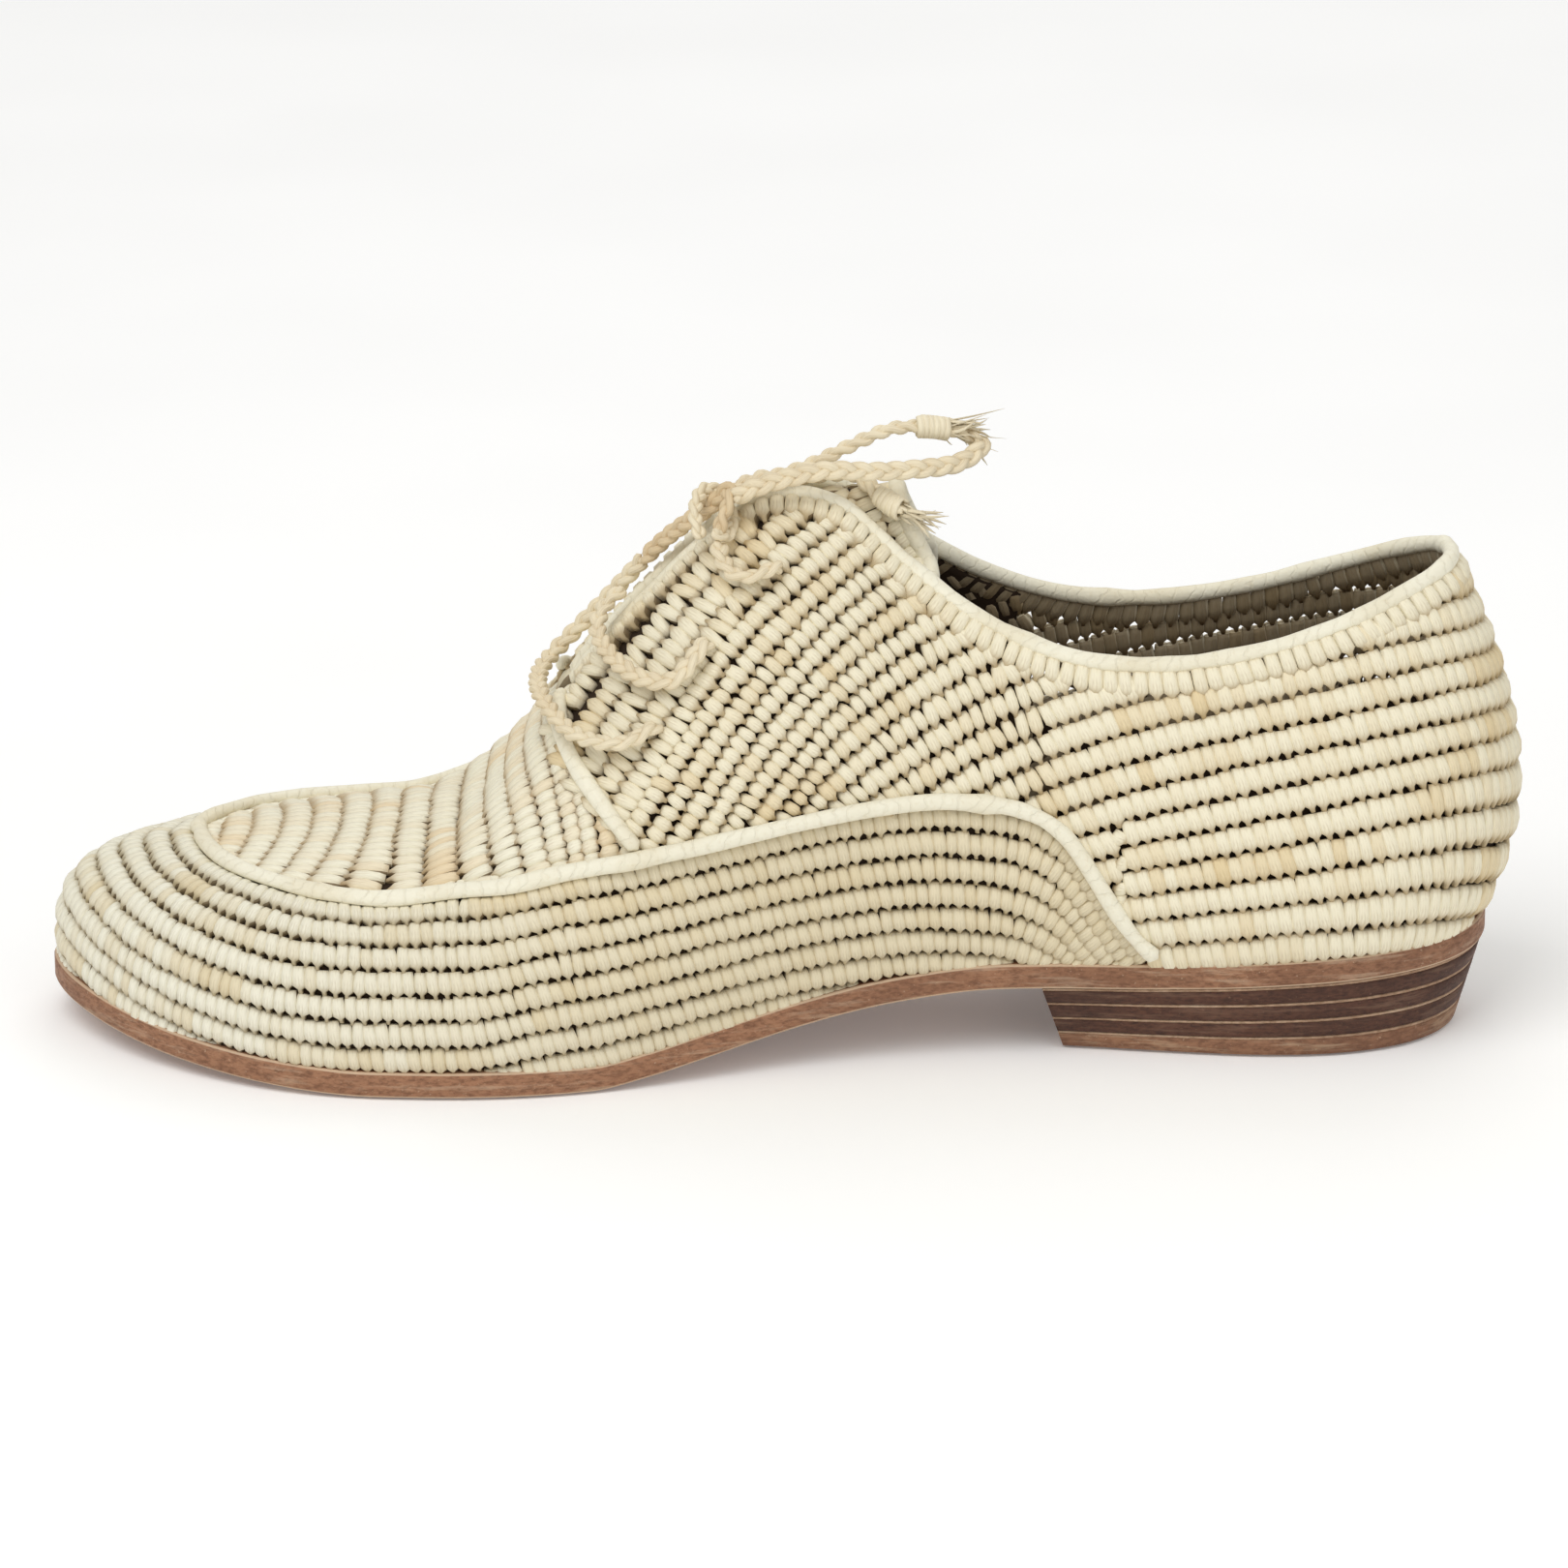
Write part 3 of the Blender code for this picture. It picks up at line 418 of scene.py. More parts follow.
# raffia colours: pale, straw, shade (fibre streaks and the painted shade at the stitch ends) and inner
# (painted shade inside the shoe)
finishes = {
    # the apron's last number, 0.75, is its painted shade behind the toe
    "apron": raffiaFinish("apronRaffia", rgb(237, 233, 214), rgb(222, 207, 172), rgb(172, 154, 116),
                          rgb(122, 102, 72), 0.75),
    "quarter": raffiaFinish("quarterRaffia", rgb(240, 232, 206), rgb(226, 206, 164), rgb(172, 146, 100),
                            rgb(118, 96, 64)),
    "plug": raffiaFinish("plugRaffia", rgb(241, 236, 214), rgb(234, 214, 178), rgb(178, 150, 108),
                         rgb(118, 96, 64)),
    "cord": cordFinish("cordRaffia", rgb(240, 235, 214), rgb(214, 198, 160)),
    "braid": raffiaFinish("braidRaffia", rgb(240, 230, 202), rgb(206, 176, 130), rgb(166, 134, 88),
                          rgb(196, 168, 120)),
    # dark sheet behind the stitches: painted shade in the holes
    "shadeSheet": plainFinish("holeShadeSheet", rgb(48, 34, 21), 0.85),
    "sole": leatherFinish("soleLeather", rgb(162, 117, 87), rgb(100, 65, 46), rgb(216, 190, 160),
                          620.0, 0.4, 0.75),
    "lift": leatherFinish("liftLeather", rgb(93, 59, 43), rgb(52, 31, 23), rgb(150, 118, 96), 640.0, 0.35),
    "topPiece": leatherFinish("topPieceLeather", rgb(150, 108, 80), rgb(98, 64, 46), rgb(204, 178, 146),
                              520.0, 0.5),
    "line": leatherFinish("paleLine", rgb(206, 174, 144), rgb(140, 104, 80), rgb(232, 212, 186), 700.0, 0.4),
    "insole": leatherFinish("insoleLeather", rgb(176, 138, 96), rgb(146, 110, 74), rgb(206, 178, 140),
                            420.0, 0.3),
}
print("finishes made:", len(finishes))


# meshes
def linked(name, data):  # a new object in the scene
    obj = bpy.data.objects.new(name, data)
    bpy.context.scene.collection.objects.link(obj)
    return obj


def meshObject(name, points, faces, finish, uvs=None):
    mesh = bpy.data.meshes.new(name)
    mesh.from_pydata([tuple(v) for v in points], [], faces)
    mesh.validate()
    if uvs is not None:
        layer = mesh.uv_layers.new(name="leg")
        layer.data.foreach_set("uv", np.asarray(uvs, np.float32).ravel())
    edit = bmesh.new()
    edit.from_mesh(mesh)
    bmesh.ops.recalc_face_normals(edit, faces=edit.faces)
    edit.to_mesh(mesh)
    edit.free()
    mesh.polygons.foreach_set("use_smooth", [True] * len(mesh.polygons))
    mesh.materials.append(finish)
    return linked(name, mesh)


def ringShape(ups, sides, cap):  # quads between rings and a cap at each end, with their UVs
    faces, uvs = [], []
    for k in range(len(ups) - 1):
        a, b = k * sides, (k + 1) * sides
        for i in range(sides):
            j = (i + 1) % sides
            faces.append((a + i, a + j, b + j, b + i))
            u0, u1 = i / sides, (i + 1) / sides
            uvs += [(u0, ups[k]), (u1, ups[k]), (u1, ups[k + 1]), (u0, ups[k + 1])]
    for ring in (0, len(ups) - 1):
        faces.append(tuple(range(ring * sides, (ring + 1) * sides)))
        uvs += [(cap, ups[ring])] * sides
    return faces, uvs


def tube(points, normals, across, off, sides, taper=0.0):
    # ring of points round each place on a line, in scene units; across and off are half sizes
    run = lengths(points)
    tangent = unit(np.gradient(points, axis=0))
    normals = unit(normals - tangent * np.sum(normals * tangent, -1, keepdims=True))
    sideways = np.cross(normals, tangent)
    turn = np.arange(sides) * 2 * np.pi / sides
    across, off = np.broadcast_to(across, len(points)), np.broadcast_to(off, len(points))
    if taper:  # rounded ends
        near = np.minimum(run, run[-1] - run) / taper
        rounded = np.sqrt(np.clip(1 - np.clip(1 - near, 0, 1) ** 2, 0.02, 1))
        across, off = across * rounded, off * rounded
    ring = (points[:, None] + sideways[:, None] * (np.cos(turn)[None, :, None] * across[:, None, None])
            + normals[:, None] * (np.sin(turn)[None, :, None] * off[:, None, None]))
    return ring.reshape(-1, 3), *ringShape(run, sides, 0.5)


def joined(shapes):  # several (points, faces, uvs) as one
    points, faces, uvs, start = [], [], [], 0
    for p, f, u in shapes:
        points.append(p)
        faces += [tuple(v + start for v in face) for face in f]
        uvs += u
        start += len(p)
    return np.concatenate(points), faces, uvs


def settle(piece, slot, *nodes):
    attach(piece, "root")
    if nodes:
        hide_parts(*nodes)
    return piece


def plainMesh(obj, name):  # the evaluated result as a mesh of its own
    graph = bpy.context.evaluated_depsgraph_get()
    mesh = bpy.data.meshes.new_from_object(obj.evaluated_get(graph))
    bpy.data.objects.remove(obj)
    return linked(name, mesh)


def thicken(obj, name, thick, node):  # a sheet as a thin solid piece
    modifier = obj.modifiers.new("thick", "SOLIDIFY")
    modifier.thickness, modifier.offset = thick * mm, 0.0
    return settle(plainMesh(obj, name), "raffia", node)


# crochet stitches, laid by Geometry Nodes on points that carry their own direction and size
stitchShape = {"sides": 8, "rings": (-1.0, -0.69, -0.42, 0.1, 0.68, 1.0), "square": 0.6, "topFrom": 0.3,
               "thin": 0.55, "thinEase": 2.4, "bend": 0.1, "upright": (0.5, 0.0, 1.0)}


def stitchMesh(name, tip, tipFrom, tipRun, top, slant, tilt):
    # a ribbon leg over its row; the tip tucks in between the legs below and leaves a hole on each side
    own = stitchShape
    turn = (np.arange(own["sides"]) + 0.5) * 2 * np.pi / own["sides"]
    x, z = (np.sign(v) * abs(v) ** own["square"] * 0.5 for v in (np.cos(turn), np.sin(turn)))
    points = []
    for t in own["rings"]:
        low = np.clip((-t - tipFrom) / tipRun, 0, 1)
        high = np.clip((t - own["topFrom"]) / (1 - own["topFrom"]), 0, 1)
        wide = 1 - (1 - tip) * low - (1 - top) * high**2
        deep = 1 - own["thin"] * abs(t) ** own["thinEase"]
        up = z * deep - own["bend"] * t * t - tilt * t
        points += [(a * wide + slant * t, t * 0.5, b) for a, b in zip(x, up)]
    faces, uvs = ringShape([(t + 1) / 2 for t in own["rings"]], own["sides"], 0.25)
    obj = meshObject(name, points, faces, finishes["apron"], uvs)
    bpy.context.scene.collection.objects.unlink(obj)
    return obj


legStitch = stitchMesh("legStitch", 0.30, 0.40, 0.28, 0.84, -0.12, 0.0)
leafStitch = stitchMesh("leafStitch", 0.32, 0.38, 0.36, 0.66, 0.0, 0.1)
ribStitch = stitchMesh("ribStitch", 0.30, 0.46, 0.28, 0.9, -0.12, 0.0)


def stitchTree():
    tree = bpy.data.node_groups.new("layStitches", "GeometryNodeTree")
    nodes, links = tree.nodes, tree.links
    for name, kind in (("Geometry", "Geometry"), ("Stitch", "Object"), ("Raffia", "Material"),
                       ("Turn", "Float"), ("Swell", "Float"), ("Seed", "Int")):
        tree.interface.new_socket(name, in_out="INPUT", socket_type="NodeSocket" + kind)
    tree.interface.new_socket("Geometry", in_out="OUTPUT", socket_type="NodeSocketGeometry")

    def add(kind, settings, sockets, out=0):
        made = nodes.new(kind)
        for key, value in settings.items():
            setattr(made, key, value)
        for key, value in sockets.items():
            if hasattr(value, "is_output"):
                links.new(value, made.inputs[key])
            else:
                made.inputs[key].default_value = value
        return made.outputs[out]

    def maths(operation, first, second):
        return add("ShaderNodeMath", {"operation": operation}, {0: first, 1: second})

    def read(name):
        return add("GeometryNodeInputNamedAttribute", {"data_type": "FLOAT_VECTOR"}, {"Name": name})

    given = nodes.new("NodeGroupInput").outputs
    stand = add("FunctionNodeAlignRotationToVector", {"axis": "Z"}, {"Vector": read("out")})
    turn = add("FunctionNodeAlignRotationToVector", {"axis": "X", "pivot_axis": "Z"},
               {"Rotation": stand, "Vector": read("row")})
    back = maths("MULTIPLY", given["Turn"], -1.0)
    loose = add("FunctionNodeRandomValue", {"data_type": "FLOAT"},
                {"Min": back, "Max": given["Turn"], "Seed": given["Seed"]}, 1)
    twist = add("ShaderNodeCombineXYZ", {}, {"Z": loose})
    euler = add("FunctionNodeEulerToRotation", {}, {0: twist})
    turned = add("FunctionNodeRotateRotation", {"rotation_space": "LOCAL"}, {0: turn, 1: euler})
    swell = add("FunctionNodeRandomValue", {"data_type": "FLOAT_VECTOR"},
                {"Min": maths("SUBTRACT", 1.0, given["Swell"]), "Max": maths("ADD", 1.0, given["Swell"]),
                 "Seed": given["Seed"]})
    size = add("ShaderNodeVectorMath", {"operation": "MULTIPLY"}, {0: read("size"), 1: swell})
    shape = add("GeometryNodeObjectInfo", {}, {"Object": given["Stitch"], "As Instance": True}, "Geometry")
    laid = add("GeometryNodeInstanceOnPoints", {},
               {"Points": given["Geometry"], "Instance": shape, "Rotation": turned, "Scale": size})
    real = add("GeometryNodeRealizeInstances", {}, {"Geometry": laid})
    finish = add("GeometryNodeSetMaterial", {}, {"Geometry": real, "Material": given["Raffia"]})
    links.new(finish, nodes.new("NodeGroupOutput").inputs[0])
    return tree


layStitches = stitchTree()


def crochet(name, rows, shape, finish, turn, swell, seed, node="upper"):
    rows = [row for row in rows if row]
    place, out, way, size, tint = (np.concatenate([row[key] for row in rows])
                                   for key in ("place", "out", "row", "size", "tint"))
    out, way = toSceneDirection(out), toSceneDirection(way)
    upright = np.sum(np.cross(out, way) * np.array(stitchShape["upright"]), -1)
    way = way * np.where(upright < 0, -1.0, 1.0)[:, None]
    mesh = bpy.data.meshes.new(name + "Points")
    mesh.from_pydata([tuple(v) for v in toScene(place)], [], [])
    for key, values in (("out", out), ("row", way), ("size", size * mm)):
        data = mesh.attributes.new(key, "FLOAT_VECTOR", "POINT").data
        data.foreach_set("vector", values.astype(np.float32).ravel())
    mesh.attributes.new("tint", "FLOAT", "POINT").data.foreach_set("value", tint.astype(np.float32))
    obj = linked(name + "Points", mesh)
    modifier = obj.modifiers.new("stitches", "NODES")
    modifier.node_group = layStitches
    inputs = {"Stitch": shape, "Raffia": finish, "Turn": math.radians(turn), "Swell": swell, "Seed": seed}
    for item in layStitches.interface.items_tree:
        if item.in_out == "INPUT" and item.name in inputs:
            modifier[item.identifier] = inputs[item.name]
    print(name, len(place), "stitches")
    return settle(plainMesh(obj, name), "raffia", node)


chance = np.random.default_rng(7)
strip = {"stitches": 9, "brown": 0.08, "brownTint": 0.55, "tint": 0.4, "shift": 0.35, "spread": 0.14}


def tintOf(count):  # neighbours in a row share a strip of raffia, so colours run in stretches
    number = count // strip["stitches"] + 3
    brown = chance.random(number) < strip["brown"]
    strips = np.where(brown, strip["brownTint"], strip["tint"] * chance.random(number))
    at = np.arange(count) / strip["stitches"] + strip["shift"] * chance.random(count)
    return np.clip(strips[at.astype(int)] + chance.normal(0, strip["spread"], count), 0, 1)


def stitchesAlong(points, normals, width, length, depth, sink, overlap=1.05):
    # even stitches on a line over the wall; width and length may change along it
    run = lengths(points)
    width, length = np.broadcast_to(width, len(points)), np.broadcast_to(length, len(points))
    count = np.concatenate([[0], np.cumsum(np.diff(run) / (0.5 * (width[1:] + width[:-1])))])
    number = int(round(count[-1]))
    if number < 1:
        return None
    at = np.interp((np.arange(number) + 0.5) / number * count[-1], count, run)
    tangent = unit(pick(np.gradient(points, axis=0), run, at))
    out = unit(pick(normals, run, at))
    fit = count[-1] / number
    wide = np.interp(at, run, width) * fit * overlap
    size = np.stack([wide, np.interp(at, run, length), np.full(number, depth)], -1)
    return {"place": pick(points, run, at) + out * sink, "out": out, "row": tangent, "size": size,
            "tint": tintOf(number)}


# the wall of each side on a fine grid of rows and lengths up it, from a little below its foot
wallGrid = {"rowStep": 0.02, "below": 3.6, "ups": 101, "fewest": 3}


def survey(side):
    p = np.arange(0, lastRow + 0.001, wallGrid["rowStep"])
    high = wallHeight(side, p)
    below = wallGrid["below"]
    s = -below + (high[:, None] + below) * np.linspace(0, 1, wallGrid["ups"])
    points = np.stack([wallPoint(side, p, s[:, j]) for j in range(s.shape[1])], 1)
    a, b = np.gradient(points, axis=0), np.gradient(points, axis=1)
    low = seamLine(side, p)
    v = np.clip((s - low[:, None]) / (high - low)[:, None], 0, 1)
    front = facingWarp(last["facingFoot"], v)
    return {"p": p, "s": s, "high": high, "points": points, "normals": unit(np.cross(a, b)) * -side,
            "apron": apronWidth(side, p), "front": front, "steps": (a, b)}


grid = {side: survey(side) for side in (lateral, medial)}
print("wall surveyed")


def spacingOf(side, field):  # millimetres over the wall for one unit of field
    a, b = grid[side]["steps"]
    e, f, g = np.sum(a * a, -1), np.sum(a * b, -1), np.sum(b * b, -1)
    di, dj = np.gradient(field, axis=0), np.gradient(field, axis=1)
    slope = (g * di**2 - 2 * f * di * dj + e * dj**2) / np.maximum(e * g - f * f, 1e-9)
    return 1 / np.sqrt(np.maximum(slope, 1e-9))


def contour(side, field, spacing, level, inside):
    # runs of the wall where the field passes a level
    g = grid[side]
    f = field - level
    cross = (f[:, :-1] * f[:, 1:] <= 0) & inside[:, :-1] & inside[:, 1:]
    k, i = cross.argmax(1), np.arange(len(f))
    t = np.clip(-f[i, k] / np.where(f[i, k + 1] == f[i, k], 1, f[i, k + 1] - f[i, k]), 0, 1)
    found = {}
    for key, values in (("points", g["points"]), ("normals", g["normals"]), ("spacing", spacing)):
        share = t[:, None] if values.ndim > 2 else t
        found[key] = values[i, k] * (1 - share) + values[i, k + 1] * share
    runs, start = [], None
    for n, here in enumerate(list(cross.any(1)) + [False]):
        if here and start is None:
            start = n
        if not here and start is not None:
            if n - start > wallGrid["fewest"]:
                runs.append({key: values[start:n] for key, values in found.items()})
            start = None
    return runs


def bothSides(outer, inner, make):  # one line over the outer and then the inner side
    parts = make(lateral, outer), make(medial, inner)
    return [np.concatenate(values) for values in zip(*parts)]


# apron band round the toe; loose is the turn, swell and seed of its stitches
apronBand = {"pitch": 4.65, "leg": 2.12, "first": 1.0, "rows": 11, "back": 5.12, "step": 0.04, "fewest": 8,
             "depth": 3.1, "sink": -0.7, "overlap": 1.02, "spread": 1.2, "least": -0.3,
             "loose": (7.0, 0.11, 11)}


def makeApron():
    own = apronBand
    rows = []
    out = np.arange(own["back"], lastRow + 0.001, own["step"])
    p = np.concatenate([out, out[-2::-1]])
    sides = np.where(np.arange(len(p)) < len(out), lateral, medial)
    width = np.where(sides == lateral, apronWidth(lateral, p), apronWidth(medial, p))
    for k in range(own["rows"]):
        top = width - own["first"] - k * own["pitch"]
        s = top - own["pitch"] / 2
        fine = top > own["least"]  # the last rows go down behind the edge of the sole
        edges = np.flatnonzero(np.diff(np.concatenate([[0], fine.astype(int), [0]])))
        for start, end in zip(edges[::2], edges[1::2]):
            if end - start < own["fewest"]:
                continue
            place, normal = np.zeros((2, end - start, 3))
            for side in (lateral, medial):
                here = sides[start:end] == side
                if here.any():
                    place[here], normal[here] = wallFrame(side, p[start:end][here], s[start:end][here])
            rows.append(stitchesAlong(place, normal, own["leg"], own["pitch"] * own["overlap"], own["depth"],
                                      own["sink"], own["spread"]))
    crochet("apronCrochet", rows, legStitch, finishes["apron"], *own["loose"])


# facings and heel quarter, whose rows climb steeply at the lacing and lie down towards the heel
quarterPanel = {
    "leg": 2.25, "leaf": 2.25, "legAlong": 70, "leafAlong": 104, "split": 0.4, "tall": (2.4, 6.2),
    "depth": 3.0, "sink": -0.4, "leafOver": 1.14, "leafSpread": 1.1, "leafLoose": (13.0, 0.13),
    "ribDepth": 2.6, "ribSink": -0.15, "rib": 1.05, "spread": 1.2, "ribLoose": (6.0, 0.09),
    "edge": -0.8, "edgeFrom": 3.5, "rimRow": 2.4, "foot": -3.4, "front": 0.04,
    "middle": 104.55, "first": 0.87, "tilt": math.radians(19), "heelRound": 9.0,
    "flatFrom": -6, "flat": 0.4, "flatUp": 34,
    # along and height of one row, and along and rise to the next: the rows fan out over the facing
    "row": [(-0.4, 9.4), (9.8, 7.3), (44.2, 0), (61.3, -3.8), (69.9, -6), (78.5, -8.6), (87, -11.8),
            (95.6, -15.8), (104.2, -20.6), (112.8, -26.4), (117.6, -30.3), (123.6, -35.7), (131, -43.4),
            (137.1, -51), (145, -62.8), (152, -74), (160, -87.2), (171, -105.4)],
    "rise": [(110, 5.1), (121, 5.1), (141, 6.6), (155, 7.6), (171, 8.4)],
}


def makeQuarter(side, name, seed):
    own, g = quarterPanel, grid[side]
    along, across, up = np.moveaxis(g["points"], -1, 0)
    wide = np.hypot(across, own["heelRound"]) - own["heelRound"]  # rounded at the back of the heel
    tall = up * math.cos(own["tilt"]) - wide * math.sin(own["tilt"])
    line = np.interp(along, *np.array(own["row"]).T)
    ease = np.clip(g["s"] / own["flatUp"], 0, 1)  # flatter low on the heel
    flat = own["flat"] + (1 - own["flat"]) * ease * ease * (3 - 2 * ease)
    line = np.where(line > own["flatFrom"], line * flat, line)
    field = (tall - line - own["middle"]) / np.interp(along, *np.array(own["rise"]).T)
    low = np.where(g["apron"] > own["edgeFrom"], g["apron"] + own["edge"], own["foot"])
    inside = (g["s"] > low[:, None]) & (g["p"][:, None] < g["front"] - own["front"])
    inside &= g["s"] < g["high"][:, None] - own["rimRow"]
    spacing = spacingOf(side, field)
    ribs, leaves = [], []
    for level in np.arange(math.floor(field.min()), math.ceil(field.max())) + own["first"]:
        for run in contour(side, field, spacing, level, inside):
            points, normals = run["points"], run["normals"]
            tall = np.clip(run["spacing"], *own["tall"])
            share = np.clip((points[:, 0] - own["legAlong"]) / (own["leafAlong"] - own["legAlong"]), 0, 1)
            width = own["leg"] + (own["leaf"] - own["leg"]) * share
            rear = share < own["split"]
            for rows, kept, cover, depth, sink, spread in (
                    (ribs, rear, own["rib"], own["ribDepth"], own["ribSink"], own["spread"]),
                    (leaves, ~rear, own["leafOver"], own["depth"], own["sink"], own["leafSpread"])):
                if kept.sum() > wallGrid["fewest"]:
                    rows.append(stitchesAlong(points[kept], normals[kept], width[kept], tall[kept] * cover,
                                              depth, sink, spread))
    crochet("heelCrochet" + name, ribs, ribStitch, finishes["quarter"], *own["ribLoose"], seed)
    crochet("facingCrochet" + name, leaves, leafStitch, finishes["quarter"], *own["leafLoose"], seed + 1)


# one row of larger stitches straight under the rolled edge
rimRow = {"leg": 2.6, "length": 5.4, "depth": 3.2, "sink": -0.25, "down": 2.2, "end": 13.2, "step": 0.04,
          "loose": (5.0, 0.07, 31)}


def makeRimRow():
    own = rimRow

    def under(side, group):
        return wallFrame(side, group, wallHeight(side, group) - own["down"])

    out = np.arange(0, own["end"], own["step"])
    line = bothSides(out[::-1], out[1:], under)
    row = stitchesAlong(*line, own["leg"], own["length"], own["depth"], own["sink"])
    crochet("rimCrochet", [row], ribStitch, finishes["quarter"], *own["loose"])


# plug of the vamp, rows across the foot
plugPanel = {
    "pitch": 5.3, "leg": 2.4, "depth": 2.6, "sink": -0.75, "overlap": 1.16, "tall": (3.0, 6.4), "spread": 1.1,
    "ridge": 12.0, "first": 2.0, "back": 134.0, "backPitch": 3.9, "toe": 246.0, "edge": -0.5, "front": 0.4,
    "meet": 4.0, "rimFrom": 13.0, "rimUp": 1.7, "rimLeg": 2.2, "rimLong": 3.2, "rimSink": -1.0, "step": 0.05,
    "loose": (5.0, 0.08, 41),
    # along and how far a row bends forward there at the bowed distance from the middle
    "bowed": 30, "bow": [(170, -3.6), (182, -1.3), (195, 0.5), (211, 5.5), (230, 9.0)],
}


def makePlug():
    own = plugPanel
    rows, fields, insides, spacings = [], {}, {}, {}
    for side in (lateral, medial):
        g = grid[side]
        along, across, _ = np.moveaxis(g["points"], -1, 0)
        bow = np.interp(along, *np.array(own["bow"]).T)
        fields[side] = -(along - bow * (across / own["bowed"]) ** 2)
        fore = g["p"][:, None] > g["front"] - own["front"]
        insides[side] = (g["s"] > g["apron"][:, None] + own["edge"]) & fore
        spacings[side] = spacingOf(side, fields[side])
    ridge = section(lateral, np.arange(own["ridge"], lastRow + 0.01, own["step"]))[:, -1]
    run = lengths(ridge)
    middle = np.interp(np.arange(own["first"], run[-1], own["pitch"]), run, ridge[:, 0])
    behind = np.arange(middle[0] - own["backPitch"], own["back"], -own["backPitch"])
    ahead = np.arange(middle[-1] + own["pitch"], own["toe"], own["pitch"])
    stops = np.sort(np.concatenate([behind, middle, ahead]))
    for x, gap in zip(stops, np.gradient(stops)):
        near, far = (contour(side, fields[side], spacings[side], -x, insides[side])
                     for side in (lateral, medial))
        lines = near + far
        ends = [runs[-1]["points"][-1] for runs in (near, far) if runs]
        if len(ends) == 2 and np.linalg.norm(ends[0] - ends[1]) < own["meet"]:  # one row over the ridge
            whole = {key: np.concatenate([near[-1][key], far[-1][key][::-1]]) for key in near[-1]}
            lines = near[:-1] + far[:-1] + [whole]
        for run in lines:
            length = np.clip(run["spacing"] * gap, *own["tall"]) * own["overlap"]
            rows.append(stitchesAlong(run["points"], run["normals"], own["leg"], length, own["depth"],
                                      own["sink"], own["spread"]))
    for side in (lateral, medial):
        p = np.arange(own["rimFrom"], lastRow + 0.001, own["step"])
        points, normals = wallFrame(side, p, apronWidth(side, p) + own["rimUp"])
        rows.append(stitchesAlong(points, normals, own["rimLeg"], own["rimLong"], own["depth"],
                                  own["rimSink"], own["spread"]))
    crochet("plugCrochet", rows, legStitch, finishes["plug"], *own["loose"])


# thin dark sheet behind the stitches, painted shade seen in the holes between them; left out near the collar
# where daylight shows between them
wallSheet = {"out": -1.45, "thick": 0.5, "rows": 120, "ups": 40, "margin": 0.4, "bare": 6.4, "bareDown": 26.0,
             "weld": 0.05}


def makeWall():
    own = wallSheet
    points, faces = [], []
    n = own["rows"] + 1
    for side in (lateral, medial):
        p = np.linspace(0, lastRow, n)
        start = len(points)
        high = wallHeight(side, p)
        for j in range(own["ups"] + 1):
            s = own["margin"] + (high - 2 * own["margin"]) * j / own["ups"]
            place, normal = wallFrame(side, p, s)
            points += list(place + normal * own["out"])
        for j in range(own["ups"]):
            for i in range(n - 1):
                up = high[i] * (j + 0.5) / own["ups"]
                if p[i] >= own["bare"] or up <= high[i] - own["bareDown"]:
                    a = start + j * n + i
                    faces.append((a, a + 1, a + n + 1, a + n))
    obj = meshObject("wallSheet", toScene(points), faces, finishes["shadeSheet"])
    obj.modifiers.new("weld", "WELD").merge_threshold = own["weld"] * mm
    thicken(obj, "wallBacking", own["thick"], "upper")


makeApron()
makeQuarter(lateral, "Outer", 21)
makeQuarter(medial, "Inner", 25)
makeRimRow()
makePlug()
makeWall()
print("upper crocheted")


# raised cords: apron seam, facing edges and rolled collar edge
cordSizes = {"half": 1.5, "rise": 1.25, "lift": 0.85, "edge": 1.5, "edgeUp": 1.35, "wobble": 0.07,
             "sides": 12, "apronFrom": 2.0, "stepAhead": 0.6, "collarTo": 13.4,
             "facingBack": 0.28, "facingDown": 0.2, "facing": (0.03, 0.9, 60)}


def wobble(count, seed):  # slow swelling along a cord
    knots = np.arange(0, count + 8, 5)
    swell = np.random.default_rng(seed).normal(size=len(knots))
    return 1 + cordSizes["wobble"] * np.interp(np.arange(count), knots, swell)


def cordPiece(name, points, normals, across, off, node, seed):
    points, normals = toScene(points), toSceneDirection(normals)
    swell = wobble(len(points), seed)
    points, faces, uvs = tube(points, normals, across * mm * swell, off * mm * swell, cordSizes["sides"],
                              taper=across * mm)
    return settle(meshObject(name, points, faces, finishes["cord"], uvs), "raffia_cord", node)


